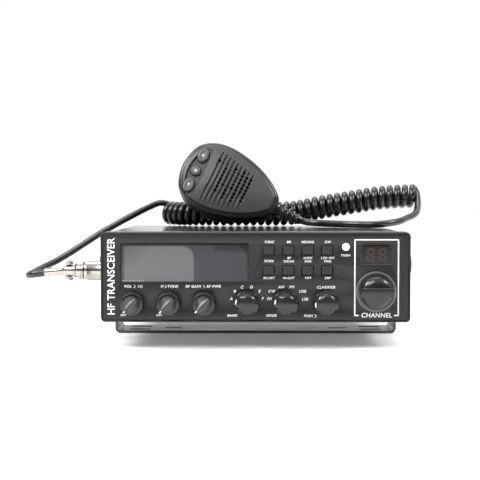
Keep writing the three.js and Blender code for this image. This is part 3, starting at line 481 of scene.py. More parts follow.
def plate(outline, holes, z0, z1, edge=0.0, steps=2):
    # a flat plate with holes and softened edges, drawn in millimetres
    curve = bpy.data.curves.new("plate", "CURVE")
    curve.dimensions = "2D"
    curve.fill_mode = "BOTH"
    curve.extrude = max((z1 - z0) / 2 - edge, 0.0)
    curve.bevel_depth = edge
    curve.bevel_resolution = steps
    curve.offset = -edge
    for loop in [outline, *holes]:
        spline = curve.splines.new("POLY")
        spline.points.add(len(loop) - 1)
        for point, (x, y) in zip(spline.points, loop):
            point.co = (x, y, 0, 1)
        spline.use_cyclic_u = True
    bm = curveMesh(curve)
    slivers = [f for f in bm.faces if f.calc_area() / max(e.calc_length() for e in f.edges) < 0.004]
    bmesh.ops.delete(bm, geom=slivers, context="FACES_ONLY")
    bmesh.ops.translate(bm, vec=(0, 0, (z0 + z1) / 2), verts=bm.verts)
    return bm


def lettering(text, size, x, y, z=0.0, slant=0.0, bold=0.0, spin=0.0, depth=0.06, spacing=1.0,
              align="CENTER"):
    # size is the height of a capital; the built-in face's capitals are 0.73 of its size
    curve = bpy.data.curves.new("lettering", "FONT")
    curve.body = text
    curve.size = size / 0.73
    curve.shear = slant
    curve.offset = bold
    curve.extrude = depth / 2
    curve.space_character = spacing
    curve.align_x = align
    curve.align_y = "CENTER"
    curve.resolution_u = 3
    bm = curveMesh(curve)
    bmesh.ops.transform(bm, matrix=Matrix.Translation((x, y, z)) @ Matrix.Rotation(math.radians(spin), 4,
                                                                                   "Z"),
                        verts=bm.verts)
    return bm


def merge(target, source, slot=None, place=None):
    if place is not None:
        bmesh.ops.transform(source, matrix=place, verts=source.verts)
    if slot is not None:
        for face in source.faces:
            face.material_index = slot
    mesh = bpy.data.meshes.new("part")
    source.to_mesh(mesh)
    source.free()
    target.from_mesh(mesh)
    bpy.data.meshes.remove(mesh)


def smoothPath(points, step):
    # centripetal Catmull-Rom through the points, resampled at an even step
    pts = [Vector(p) for p in points]
    pts = [pts[0] * 2 - pts[1], *pts, pts[-1] * 2 - pts[-2]]
    dense = []
    for i in range(1, len(pts) - 2):
        p0, p1, p2, p3 = pts[i - 1:i + 3]
        t0 = 0.0
        t1 = t0 + math.sqrt((p1 - p0).length)
        t2 = t1 + math.sqrt((p2 - p1).length)
        t3 = t2 + math.sqrt((p3 - p2).length)
        for k in range(12):
            t = t1 + (t2 - t1) * k / 12
            a1 = p0 * ((t1 - t) / (t1 - t0)) + p1 * ((t - t0) / (t1 - t0))
            a2 = p1 * ((t2 - t) / (t2 - t1)) + p2 * ((t - t1) / (t2 - t1))
            a3 = p2 * ((t3 - t) / (t3 - t2)) + p3 * ((t - t2) / (t3 - t2))
            b1 = a1 * ((t2 - t) / (t2 - t0)) + a2 * ((t - t0) / (t2 - t0))
            b2 = a2 * ((t3 - t) / (t3 - t1)) + a3 * ((t - t1) / (t3 - t1))
            dense.append(b1 * ((t2 - t) / (t2 - t1)) + b2 * ((t - t1) / (t2 - t1)))
    dense.append(pts[-2].copy())
    total = sum((b - a).length for a, b in zip(dense, dense[1:]))
    count = max(2, round(total / step))
    out, run, index = [dense[0]], 0.0, 0
    for k in range(1, count):
        goal = total * k / count
        while run + (dense[index + 1] - dense[index]).length < goal:
            run += (dense[index + 1] - dense[index]).length
            index += 1
        part = (goal - run) / (dense[index + 1] - dense[index]).length
        out.append(dense[index].lerp(dense[index + 1], part))
    out.append(dense[-1])
    return out


def addTube(bm, path, radius, sides=12, slot=0):
    # a round tube whose rings are carried along the path without twist
    rings = []
    tangent = (path[1] - path[0]).normalized()
    side = tangent.cross(Vector((0, 0, 1)))
    if side.length < 0.1:
        side = tangent.cross(Vector((1, 0, 0)))
    side.normalize()
    for i, p in enumerate(path):
        ahead = path[min(i + 1, len(path) - 1)] - path[max(i - 1, 0)]
        tangent = ahead.normalized()
        side = (side - tangent * side.dot(tangent)).normalized()
        other = tangent.cross(side)
        r = radius(i / (len(path) - 1)) if callable(radius) else radius
        rings.append([p + (side * math.cos(a) + other * math.sin(a)) * r
                      for a in (k / sides * math.tau for k in range(sides))])
    addRings(bm, rings, slot=slot)


# the curly cord
cord = {
    "radius": 2.6,
    "curlRadius": 9.6,  # outside of the turns
    "looseTurn": 5.95,  # pitch where the curl is at rest on the case and beyond
    "tightTurn": 5.3,  # pitch at its far left, where the turns touch
    "tightUntil": -34.0,
}
micLead = [
    (34.9, 59.1, 79.2), (40, 58.3, 77.9), (48, 54, 77.3), (60, 42, 77.0), (74, 30, 76.9), (90, 24, 77.0),
    (106, 30, 78.6), (116.3, 45, 81.3), (123.7, 58, 84.3), (127.5, 73, 89.6), (128.7, 84, 96.5),
    (128.6, 90.5, 101), (127.2, 92, 103.8),
]
curlAxis = [
    (-72.5, 107.5, 84.2), (-62, 98, 84), (-52, 91, 84), (-44, 88.6, 84), (-34, 88, 84), (0, 88, 84),
    (30, 88, 84.6), (52.4, 88, 89), (77.1, 88, 93), (94.8, 88, 96), (113, 88, 97.5), (125.5, 88, 98),
]
plugLead = [
    (-76.5, 102.5, 92.4), (-80, 99.5, 91.7), (-85.0, 96.5, 89.4), (-92.5, 91.5, 85.7), (-102.9, 82.5, 80),
    (-111.6, 71, 74.7), (-120.1, 58, 69.4), (-128.5, 40, 63.1), (-137, 22, 56.8), (-144.7, 4, 51.4),
    (-151.9, -15, 47.3), (-156.4, -36, 44.4), (-156.9, -48, 43.6), (-154.2, -57, 44.4),
    (-149.4, -59.9, 45.3), (-144.3, -60, 46.0),
]


def helixPath():
    # from the right-hand end to the left: starts and ends at the top of a turn, moving forward
    axis = smoothPath(curlAxis[::-1], 1.0)
    turnRadius = cord["curlRadius"] - cord["radius"]
    inset = 2.5
    steps = 16
    length = sum((b - a).length for a, b in zip(axis, axis[1:]))
    phase, run, turns = 0.0, 0.0, []
    while run < length - inset:
        here = axis[min(int(run), len(axis) - 1)]
        pitch = cord["tightTurn"] if here.x < cord["tightUntil"] else cord["looseTurn"]
        turns.append((run, phase))
        run += pitch / steps
        phase += math.tau / steps
    scale = round(phase / math.tau) * math.tau / phase
    points = []
    for run, phase in turns:
        k = min(int(run), len(axis) - 2)
        here = axis[k].lerp(axis[k + 1], min(run - k, 1.0))
        tangent = (axis[min(k + 3, len(axis) - 1)] - axis[max(k - 3, 0)]).normalized()
        back = tangent.cross(Vector((0, 0, 1))).normalized()
        up = back.cross(tangent).normalized()
        a = phase * scale
        points.append(here + up * (turnRadius * math.cos(a)) + back * (-turnRadius * math.sin(a)))
    return points


def makeCord():
    helix = helixPath()
    lead = smoothPath([*micLead, helix[0]], 2.2)
    tail = smoothPath([helix[-1], *plugLead], 2.2)
    path = [*lead[:-1], *helix, *tail[1:]]
    bm = bmesh.new()
    addTube(bm, path, cord["radius"], sides=12)
    obj = piece("curlyCord", bm, "cordRubber", None, angle=60,
                replaces=("cord_mic_lead", "cord_curl", "cord_plug_lead"))
    return obj, path


def pathLength(path):
    return sum((b - a).length for a, b in zip(path, path[1:]))


cordPiece, cordPath = makeCord()
print("cord length mm", round(pathLength(cordPath)))


# microphone plug and socket
plug = {
    "barrel": 6.3,
    "knurl": 0.25,  # depth of the ring's knurling
    "lug": 3.1,  # half width of the cord clamp's ears
    "sleeve": 3.1,
    "droop": 5.5,  # degrees that the sleeve hangs
}


def turnedX(bm, profile, y, z, sides=40, flute=None, slot=0):
    # turned about a line along X; profile is [radius, x]
    part = bmesh.new()
    addTurned(part, profile, sides, flute)
    place = Matrix.Translation((0, y, z)) @ Matrix(((0, 0, 1, 0), (1, 0, 0, 0), (0, 1, 0, 0), (0, 0, 0, 1)))
    merge(bm, part, slot, place)


def makePlug():
    ringLow, ringHigh = lowHigh("plug_ring")
    bodyLow = lowHigh("plug_body")[0]
    clampLow, clampHigh = lowHigh("plug_clamp")
    y = (ringLow[1] + ringHigh[1]) / 2
    z = (ringLow[2] + ringHigh[2]) / 2
    r = plug["barrel"]
    x0, x1 = ringLow[0], ringHigh[0]

    def knurl(a, x):
        inside = x0 + 2.5 < x < x1 - 1.5
        return -plug["knurl"] if inside and round(a / math.tau * 64) % 2 else 0.0

    bm = bmesh.new()
    profile = [(r - 1, x1), (r + 0.1, x1 - 0.1), (r + 0.3, x1 - 0.5), (r + 0.3, x1 - 1.4),
               (r + 0.3, x1 - 1.6),
               (r + 0.3, x0 + 2.6), (r + 0.3, x0 + 2.4), (r + 0.3, x0 + 0.6), (r, x0 + 0.1), (r - 1, x0)]
    turnedX(bm, profile, y, z, 64, knurl)
    ring = piece("plugRing", bm, "nickel", "plug_ring", replaces=("plug_ring",))

    x0, x1 = bodyLow[0], ringLow[0] - 0.3
    bm = bmesh.new()
    profile = [(0.5, x1), (r - 0.6, x1), (r, x1 - 0.4), (r, x0 + 4.2), (r - 0.35, x0 + 4.0),
               (r - 0.35, x0 + 3.4), (r, x0 + 3.2), (r, x0 + 0.8), (r - 0.7, x0), (0.5, x0)]
    turnedX(bm, profile, y, z, 48)
    barrel = piece("plugBarrel", bm, "nickel", "radio", replaces=("plug_body",))

    x1 = clampHigh[0]
    bm = bmesh.new()
    profile = [(0.5, x1), (4.6, x1), (5.0, x1 - 0.5), (5.0, x1 - 1.6), (4.2, x1 - 2.0), (4.2, x1 - 7.6),
               (3.6, x1 - 8.4), (0.5, x1 - 8.4)]
    turnedX(bm, profile, y, z, 32)
    for side in (-1, 1):
        # the two halves of the cord clamp, with their screw and nut
        middle = x1 - 4.6
        ear = roundedRect(-2.6, 2.6, -plug["lug"], plug["lug"], 2.3, 5)
        part = bmesh.new()
        addPrism(part, ear, 0.35, 2.0)
        tilt = Matrix.Rotation(0 if side > 0 else math.pi, 4, "X")
        merge(bm, part, 0, Matrix.Translation((middle, y, z)) @ tilt @ Matrix.Translation((0, 0, 4.2)))
        part = bmesh.new()
        addTurned(part, [(0.01, 0), (1.5, 0), (1.7, 0.25), (1.7, 1.0), (1.2, 1.5), (0.01, 1.6)], 20)
        merge(bm, part, 0, Matrix.Translation((middle, y, z)) @ tilt @ Matrix.Translation((0, 0, 5.0)))
        # the screw's slot is a near-black box: painted shade
        part = bmesh.new()
        addBox(part, (-1.3, -0.22, 1.3), (1.3, 0.22, 1.75))
        merge(bm, part, 1, Matrix.Translation((middle, y, z)) @ tilt @ Matrix.Translation((0, 0, 5.0)))
        part = bmesh.new()
        addTurned(part, [(0.01, -0.2), (0.9, -0.2), (0.9, 5.5), (0.01, 5.5)], 12)
        merge(bm, part, 0, Matrix.Translation((middle, y, z)) @ tilt)
    # rolled sleeve, opening at the far end
    s = plug["sleeve"]
    length = x1 - 8 - clampLow[0]
    part = bmesh.new()
    addTurned(part, [(2.7, 0.4), (s - 0.1, 0), (s, 0.3), (s + 0.05, length * 0.5), (s, length - 0.4),
                     (s - 0.12, length), (2.68, length), (2.66, length - 3)], 32)
    turn = Matrix(((0, 0, -1, 0), (1, 0, 0, 0), (0, -1, 0, 0), (0, 0, 0, 1)))
    hang = Matrix.Rotation(math.radians(-plug["droop"]), 4, "Y")
    merge(bm, part, 0, Matrix.Translation((x1 - 7.8, y, z)) @ hang @ turn)
    clamp = piece("plugClamp", bm, ["nickel", "paintedSlotShade"], "radio", replaces=("plug_clamp",))
    return ring, barrel, clamp


plugPieces = makePlug()


# hand microphone
mic = {
    "place": (-21.0, 66.0, 104.8),
    "turn": 25.4,  # degrees, long axis below level
    "lean": 15.0,  # degrees, top of the face away
    "long": 80.0,
    "wide": 55.6,
    "rim": 2.5,  # width of the rim round the face
    "slots": 9,
    "firstSlot": -13.6,
    "slotPitch": 3.6,
    "slotWidth": 1.35,
    "holePitch": 3.1,
    "hole": 2.15,
    "buttonAt": -26.8,
    "faceShift": -1.7,  # the slots and buttons sit this far below the long axis
}
micHalf = [(-37, 0), (-34.2, 13.5), (-29, 20.6), (-20, 25.2), (-9, 26.4), (3, 24.8),
           (15, 21.4), (26, 16.2), (34, 10.6), (38.6, 5)]
holeHalfRanges = [0, 0, 11.8, 8.6, 15.2, 8.6, 15.0, 8.6, 12.2]


def micMatrix():
    lean, turn = math.radians(mic["lean"]), math.radians(mic["turn"])
    w = Vector((0, -math.cos(lean), math.sin(lean)))
    up = Vector((0, math.sin(lean), math.cos(lean)))
    right = Vector((1, 0, 0))
    u = right * math.cos(turn) - up * math.sin(turn)
    v = right * math.sin(turn) + up * math.cos(turn)
    rows = [(u[i], v[i], w[i], mic["place"][i]) for i in range(3)]
    return Matrix((*rows, (0, 0, 0, 1)))


micPlace = micMatrix()


def micOutline():
    along, across = mic["long"] / 76, mic["wide"] / 52.8
    up = [Vector((u * along, v * across)) for u, v in micHalf]
    loop = up + [Vector((p.x, -p.y)) for p in reversed(up[1:])]
    count = len(loop)
    points = []
    for i in range(count):
        p0, p1, p2, p3 = (loop[(i + k) % count] for k in (-1, 0, 1, 2))
        for k in range(6):
            t = k / 6
            points.append(0.5 * ((2 * p1) + (p2 - p0) * t + (2 * p0 - 5 * p1 + 4 * p2 - p3) * t * t
                                 + (3 * p1 - p0 - 3 * p2 + p3) * t ** 3))
    return points


outline = micOutline()


def micRing(grow, w):
    # the outline at one level, grown outwards or drawn in
    ring = []
    count = len(outline)
    for i, p in enumerate(outline):
        t = (outline[(i + 1) % count] - outline[i - 1]).normalized()
        q = p + Vector((-t.y, t.x)) * grow
        ring.append((q.x, q.y, w))
    return ring


def micScaled(ring, scale, w):
    return [(x * scale, y * scale, w) for x, y, _ in ring]


def cutAway(obj, cutters):
    # carve a mesh with others, each given with the material slot its cuts take
    for bm, slot in cutters:
        bmesh.ops.transform(bm, matrix=Matrix.Scale(mm, 4) @ micPlace, verts=bm.verts)
        bmesh.ops.recalc_face_normals(bm, faces=bm.faces)
        for face in bm.faces:
            face.material_index = slot
        mesh = bpy.data.meshes.new("cutter")
        bm.to_mesh(mesh)
        bm.free()
        for material in obj.data.materials:
            mesh.materials.append(material)
        tool = bpy.data.objects.new("cutter", mesh)
        bpy.context.collection.objects.link(tool)
        modifier = obj.modifiers.new("cut", "BOOLEAN")
        modifier.operation = "DIFFERENCE"
        modifier.solver = "EXACT"
        modifier.object = tool
        graph = bpy.context.evaluated_depsgraph_get()
        result = bpy.data.meshes.new_from_object(obj.evaluated_get(graph))
        obj.modifiers.remove(modifier)
        old = obj.data
        obj.data = result
        bpy.data.meshes.remove(old)
        bpy.data.objects.remove(tool)
        bpy.data.meshes.remove(mesh)
    obj.data.polygons.foreach_set("use_smooth", [True] * len(obj.data.polygons))
    obj.data.set_sharp_from_angle(angle=math.radians(30))


def micFront():
    face = 13.4
    probe = micRing(-5.0, 0)
    outer = [(0.0, 0.15), (0.15, 2.5), (0.25, 6.0), (0.1, 9.0), (-0.3, 10.4), (-1.0, 11.3), (-1.9, 11.8),
             (-2.5, 11.9)]
    rings = [micScaled(probe, s, 10.2 + 1.1 * (1 - s * s)) for s in (0.04, 0.4, 0.75, 0.92)]
    rings += [micRing(-2.4, 9.0), micRing(-1.9, 5.0), micRing(-1.9, 0.15)]
    rings += [micRing(i, w) for i, w in outer]
    rings += [micRing(-2.8, 12.5), micRing(-3.1, 12.9), micRing(-3.8, face - 0.15),
              micRing(-5.0, face + 0.05)]
    rings += [micScaled(probe, s, face + 0.05 + 2.1 * (1 - s * s)) for s in (0.93, 0.82, 0.68, 0.5, 0.3,
                                                                             0.12, 0.02)]
    bm = bmesh.new()
    addRings(bm, rings)
    # the face keeps the first colour; the shell's sides are painted darker, as shade on the same plastic
    for part in bm.faces:
        part.material_index = int(part.calc_center_median().z < face - 0.2)
    obj = piece("micFrontShell", bm, ["micPlastic", "micDark"], "mic", angle=30, place=micPlace,
                replaces=("mic_front_shell",))
    cutters = []
    # crescent recess that holds the three buttons
    along, shift = mic["buttonAt"], mic["faceShift"]
    crescent = []
    for k in range(17):
        v = -20.5 + 41 * k / 16
        crescent.append((along + 6.6 - 1.2 * (v / 20.5) ** 2, v + shift))
    for k in range(17):
        v = 20.5 - 41 * k / 16
        crescent.append((along - 6.6 + 6.6 * (v / 20.5) ** 2, v + shift))
    bm = bmesh.new()
    addPrism(bm, crescent, 12.9, 17)
    cutters.append((bm, 0))
    # curved groove along the recess's outer side, its walls painted dark as shade
    bm = bmesh.new()
    inner, outerSide = [], []
    for k in range(17):
        v = -18.5 + 37 * k / 16
        u = along - 5.6 + 6.0 * (v / 20.5) ** 2
        half = 0.95 * (1 - (v / 18.6) ** 4) + 0.05
        inner.append((u + half, v + shift))
        outerSide.append((u - half, v + shift))
    addPrism(bm, inner + outerSide[::-1], 11.4, 17)
    cutters.append((bm, 1))
    # wells round the buttons; their walls are painted dark as shade
    bm = bmesh.new()
    for v, a, b in micButtons().values():
        addPrism(bm, circle(along, v, b + 0.55, 40, a + 0.55), 7, 18)
    cutters.append((bm, 1))
    # the grille slots; their walls are painted dark as shade
    bm = bmesh.new()
    for i in range(mic["slots"]):
        u = mic["firstSlot"] + i * mic["slotPitch"]
        half = 22.0 - i * 0.88
        w = mic["slotWidth"] / 2
        addBox(bm, (u - w, shift - half, 12.9), (u + w, shift + half, 17))
    cutters.append((bm, 1))
    # a shallow valley along each slot, so that the stripes between them are crowned
    bm = bmesh.new()
    for i in range(mic["slots"]):
        u = mic["firstSlot"] + i * mic["slotPitch"]
        half = 22.4 - i * 0.88
        section = [(u - 1.35, 15.2), (u + 1.35, 15.2), (u + 1.35, 14.75), (u, 13.7), (u - 1.35, 14.75)]
        addRings(bm, [[(px, v + shift, pw - 0.00075 * v * v - 0.0006 * px * px) for px, pw in section]
                      for v in [-half + half * k / 6 for k in range(13)]])
    cutters.append((bm, 0))
    # the grille holes; their walls are painted dark as shade
    bm = bmesh.new()
    for i, reach in enumerate(holeHalfRanges):
        u = mic["firstSlot"] + i * mic["slotPitch"]
        h = mic["hole"] / 2
        spots = []
        if reach:
            count = int(reach / mic["holePitch"])
            shift = 0.5 * mic["holePitch"] if i % 2 else 0.0
            spots = [k * mic["holePitch"] + shift for k in range(-count, count + 1)]
            spots = [v for v in spots if abs(v) <= reach + 0.1]
        if i == 0:
            spots = [15.0]
        for v in spots:
            addBox(bm, (u - h, v + shift - h, 8), (u + h, v + shift + h, 17.5))
    cutters.append((bm, 1))
    # opening for the talk bar on the lower flank; its walls are painted dark as shade
    bm = bmesh.new()
    addBox(bm, (-12.8, -34, -6.2), (16.4, -22.6, 6.2))
    cutters.append((bm, 1))
    cutAway(obj, cutters)
    return obj


def micButtons():
    # name: (place across, half length, half width)
    return {"up": (11.5, 6.0, 4.2), "centre": (-2.1, 3.8, 3.8), "down": (-14.7, 5.8, 4.2)}


def micButtonPieces():
    along = mic["buttonAt"]
    for name, (v, a, b) in micButtons().items():
        bm = bmesh.new()
        rings = []
        for inset, w in ((0, 10.5), (0, 14.4), (0.12, 14.9), (0.5, 15.3), (1.1, 15.5), (1.9, 15.45),
                         (2.9, 15.3)):
            rings.append([(x, y, w) for x, y in circle(along, v, b - inset, 36, a - inset)])
        addRings(bm, rings)
        mark = bmesh.new()
        if name == "centre":
            addPrism(mark, circle(along, v, 1.2, 24), 15.2, 15.62, 1)
        else:
            # an arrow head that points along the flank
            way = 1 if name == "up" else -1
            arrow = [(along - 1.3, v - way * 1.3), (along + 1.3, v - way * 1.3), (along, v + way * 1.7)]
            addPrism(mark, arrow, 15.2, 15.62, 1)
        merge(bm, mark)
        piece(f"micButton_{name}", bm, ["micButton", "buttonMark"], f"mic_{name}_button", angle=40,
              place=micPlace, replaces=(f"mic_{name}_button",))


def micRear():
    bm = bmesh.new()
    depth = 16.0
    rings = [micScaled(micRing(-6.0, 0), s, -depth + 2.0) for s in (0.05, 0.6)]
    rings += [micRing(-6.5, -depth + 2.0), micRing(-3.0, -9.5), micRing(-1.9, -5.0), micRing(-1.9, -0.15)]
    rings += [micRing(-0.35, -0.15), micRing(-0.3, -0.5), micRing(0.0, -0.7), micRing(0.1, -3.0),
              micRing(-0.1, -6.0),
              micRing(-0.9, -9.5), micRing(-2.4, -12.4), micRing(-4.4, -14.6), micRing(-6.5, -15.6),
              micRing(-8.6, -depth)]
    base = micRing(-8.6, 0)
    rings += [micScaled(base, s, -depth - 0.25 * (1 - s)) for s in (0.7, 0.4, 0.1, 0.02)]
    addRings(bm, rings)
    obj = piece("micRearShell", bm, "micDark", "mic", angle=32, place=micPlace,
                replaces=("mic_rear_shell",))
    bm = bmesh.new()
    addBox(bm, (-12.8, -34, -6.2), (16.4, -22.6, 6.2))
    cutters = [(bm, 0)]
    bm = bmesh.new()
    for u, v in ((-24, 15), (-24, -15), (22, 9), (22, -9)):
        addPrism(bm, circle(u, v, 3.0, 28), -20, -14.2)
    cutters.append((bm, 0))
    cutAway(obj, cutters)
    # hang-up stud and the four case screws
    bm = bmesh.new()
    addTurned(bm, [(0.01, 0.5), (3.4, 0.5), (3.4, -2.4), (4.2, -2.8), (5.8, -3.2), (6.0, -3.6), (6.0, -4.6),
                   (5.6, -5.4), (4.6, -5.8), (0.01, -6.0)], 40)
    piece("micHangStud", bm, "nickel", "mic", place=micPlace @ Matrix.Translation((-6, 0, -16)))
    bm = bmesh.new()
    for u, v in ((-24, 15), (-24, -15), (22, 9), (22, -9)):
        part = bmesh.new()
        addTurned(part, [(0.01, -14.4), (2.2, -14.4), (2.4, -14.7), (2.2, -15.2), (1.4, -15.5),
                         (0.01, -15.6)], 24)
        merge(bm, part, 0, Matrix.Translation((u, v, 0)))
        # cross slots as near-black boxes: painted shade
        for spin in (0, 90):
            part = bmesh.new()
            addBox(part, (-1.5, -0.25, -15.72), (1.5, 0.25, -15.3))
            merge(bm, part, 1, Matrix.Translation((u, v, 0)) @ Matrix.Rotation(math.radians(spin + 20), 4,
                                                                               "Z"))
    piece("micCaseScrews", bm, ["zincSteel", "paintedSlotShade"], "mic", place=micPlace)


def talkBar():
    # rubber bar that follows the flank, with grip ridges
    bm = bmesh.new()
    count = len(outline)
    flank = []
    for i, p in enumerate(outline):
        if -12.0 <= p.x <= 16.0 and p.y < 0:
            t = (outline[(i + 1) % count] - outline[i - 1]).normalized()
            flank.append((p, Vector((-t.y, t.x))))
    flank.sort(key=lambda item: item[0].x)
    start, end = flank[0][0].x, flank[-1][0].x
    rings = []
    steps = 44
    for k in range(steps + 1):
        goal = -11.7 + (27.4) * k / steps
        goal = min(max(goal, start), end)
        index = max(i for i, (p, _) in enumerate(flank) if p.x <= goal + 1e-6)
        nxt = min(index + 1, len(flank) - 1)
        span = max(flank[nxt][0].x - flank[index][0].x, 1e-6)
        t = min((goal - flank[index][0].x) / span, 1.0)
        p = flank[index][0].lerp(flank[nxt][0], t)
        n = flank[index][1].lerp(flank[nxt][1], t).normalized()
        edge = min(k, steps - k) / steps
        proud = 2.1 * min(1.0, (edge * 9) ** 0.5)
        ridge = 0.22 if 8 <= k <= 36 and k % 3 == 0 else 0.0
        wide = 5.4
        section = []
        for out, w in ((-2.8, -wide), (proud * 0.45, -wide), (proud * 0.9, -wide * 0.72),
                       (proud + ridge, -wide * 0.35),
                       (proud + ridge, wide * 0.35), (proud * 0.9, wide * 0.72), (proud * 0.45, wide),
                       (-2.8, wide)):
            section.append((p.x + n.x * out, p.y + n.y * out, w))
        rings.append(section)
    addRings(bm, rings)
    piece("micTalkBar", bm, "micRubber", "push_to_talk", angle=35, place=micPlace,
          replaces=("push_to_talk",))


def strainRelief():
    # ribbed boot: rings joined by bridges on alternate sides, so that it bends
    bm = bmesh.new()
    turn = Matrix(((0, 0, 1, 0), (1, 0, 0, 0), (0, 1, 0, 0), (0, 0, 0, 1)))
    part = bmesh.new()
    addTurned(part, [(0.5, 36.0), (5.6, 36.0), (6.0, 37.0), (6.1, 41.4), (5.8, 43.0), (5.2, 43.8),
                     (3.7, 44.2), (3.3, 62.0), (2.95, 62.6), (2.7, 62.3)], 36)
    merge(bm, part, 0, turn)
    for i in range(4):
        x = 46.3 + i * 4.0
        r = 5.8 - i * 0.5
        part = bmesh.new()
        addTurned(part, [(3.0, x - 0.1), (r - 0.7, x), (r - 0.2, x + 0.3), (r, x + 0.8), (r, x + 1.4),
                         (r - 0.2, x + 1.9), (r - 0.7, x + 2.2), (3.0, x + 2.3)], 36)
        merge(bm, part, 0, turn)
        for side in (0, 1):
            a = math.radians(90 * (i % 2) + 180 * side)
            part = bmesh.new()
            addBox(part, (2.6, -1.2, x - 1.9), (r - 0.5, 1.2, x + 0.2))
            merge(bm, part, 0, turn @ Matrix.Rotation(a, 4, "Z"))
    piece("micStrainRelief", bm, "micRubber", "mic", angle=35, place=micPlace,
          replaces=("mic_strain_relief",))


def makeMicrophone():
    micFront()
    micButtonPieces()
    micRear()
    talkBar()
    strainRelief()
    print("microphone ready")


makeMicrophone()


# front panel
faceFrame = Matrix.Translation((0, faceY, 0)) @ alongY
panel = {
    "corner": 3.0,
    "rim": 1.3,
    "groove": 0.6,
    "wall": 2.4,
    "keyGap": 0.35,
    "shaftHole": 4.4,
    "titleAcross": -92.9,
    "titleSpan": (21.6, 71.5),
    "titleLength": 49.5,
    "selectorFrame": (64.0, 92.0, 21.6, 70.4),  # left, right, low, high
    "selectorGap": (66.6, 89.4),  # the frame is open between these
    "selectorLine": 0.4,
}
panelWide = panelHigh[0]
panelDeep = panelHigh[1] - panelLow[1]


def panelLoop(inset):
    corner = max(panel["corner"] - inset, 0.6)
    return roundedRect(-panelWide + inset, panelWide - inset, panelLow[2] + inset, panelHigh[2] - inset,
                       corner, 6)


def nodeFace(node):
    # a node's front as x and height ranges
    low, high = lowHigh(node)
    return low[0], high[0], low[2], high[2]


def nodeMiddle(node):
    x0, x1, z0, z1 = nodeFace(node)
    return (x0 + x1) / 2, (z0 + z1) / 2


keyNodes = ["func_key", "beep_key", "noise_blanker_key", "dual_watch_key",
            "scan_key", "tone_scan_key", "lock_key", "display_key"]
keySize = (7.0, 5.9)
dualKnobs = [("volume_knob", "squelch_ring"), ("mic_gain_knob", "tone_ring"),
             ("rf_gain_knob", "rf_power_ring")]
barKnobs = [("band_knob", 15.0), ("mode_knob", 15.0), ("clarifier_knob", 0.0)]


def frontHoles():
    holes = []
    for node, edge in (("display_window", 0.3), ("channel_window", 0.3)):
        x0, x1, z0, z1 = nodeFace(node)
        holes.append(roundedRect(x0 - edge, x1 + edge, z0 - edge, z1 + edge, 0.9)[::-1])
    for node in keyNodes:
        x, z = nodeMiddle(node)
        w, h = keySize[0] / 2 + panel["keyGap"], keySize[1] / 2 + panel["keyGap"]
        holes.append(roundedRect(x - w, x + w, z - h, z + h, 0.8, 3)[::-1])
    x, z = nodeMiddle("status_led")
    holes.append(circle(x, z, 2.75, 28)[::-1])
    for node in [ring for _, ring in dualKnobs] + [knob for knob, _ in barKnobs] + ["channel_knob"]:
        x, z = nodeMiddle(node)
        holes.append(circle(x, z, panel["shaftHole"], 28)[::-1])
    return holes


def makePanel():
    holes = frontHoles()
    inner = panel["rim"] + panel["groove"]
    bm = plate(panelLoop(panel["rim"] - 0.2), holes, -3.0, -0.9)
    merge(bm, plate(panelLoop(inner), holes, -1.2, 0.0, 0.25))
    merge(bm, plate(panelLoop(0), [panelLoop(panel["rim"])[::-1]], -2.4, 0.0, 0.62, 3))
    merge(bm, plate(panelLoop(0.02), [panelLoop(panel["wall"])[::-1]], -panelDeep, -1.0, 0.3))
    # two upright ribs on the right, beside the channel area
    top, bottom = panelHigh[2] - 4.6, panelLow[2] + 4.4
    for x in (93.0, 95.6):
        part = roundedRect(x - 0.28, x + 0.28, bottom, top, 0.25, 3)
        merge(bm, plate(part, [], -0.1, 0.35, 0.12, 1))
    piece("panelShell", bm, "panelPlastic", "radio", angle=30, place=faceFrame, replaces=("front_panel",))


panelText = [
    # text, capital height, x, height
    ("FUNC", 1.55, 8.9, 68.9), ("RB", 1.55, 21.4, 68.9), ("NB/ANL", 1.55, 33.7, 68.9),
    ("DW", 1.55, 46.4, 68.9),
    ("SCAN", 1.55, 8.6, 56.6), ("BP", 1.45, 21.6, 58.6), ("TSCAN", 1.45, 21.2, 56.4),
    ("LOCK", 1.45, 33.7, 58.6), ("SWR", 1.45, 33.7, 56.4), ("LCD OFF", 1.45, 46.4, 58.6),
    ("PWR", 1.45, 46.4, 56.4),
    ("SC.LIST", 1.45, 8.6, 45.7), ("HI-CUT", 1.45, 21.2, 45.7), ("TOT", 1.45, 33.7, 45.7),
    ("S/RF", 1.45, 46.4, 45.7), ("TX/RX", 1.45, 57.9, 60.3),
    ("VOL", 1.75, -82.4, 40.2), ("SQ", 1.75, -74.5, 40.2), ("M", 1.75, -60.3, 40.2),
    ("TONE", 1.75, -53.4, 40.2), ("RF GAIN", 1.75, -40.2, 40.2), ("RF PWR", 1.75, -27.0, 40.2),
    ("OFF", 1.45, -85.4, 21.6), ("OFF", 1.45, -62.2, 21.6),
    ("A", 1.9, -15.6, 32.3), ("B", 1.9, -13.4, 37.1), ("C", 1.9, -8.7, 39.8), ("D", 1.9, -2.6, 39.8),
    ("E", 1.9, 2.5, 37.1), ("F", 1.9, 4.5, 32.4),
    ("PA", 1.8, 9.0, 32.3), ("CW", 1.8, 10.4, 37.1), ("AM", 1.8, 16.5, 39.8), ("FM", 1.8, 23.3, 39.8),
    ("USB", 1.8, 30.3, 37.1), ("LSB", 1.8, 31.9, 32.0), ("CLARIFIER", 1.75, 45.4, 39.7),
    ("BAND", 1.6, -15.0, 21.4), ("MODE", 1.6, 10.2, 21.4), ("PUSH", 1.6, 34.0, 21.2),
]
markLoops = [(-78.4, 40.2), (-58.3, 40.2), (-33.6, 40.2), (38.3, 21.2)]


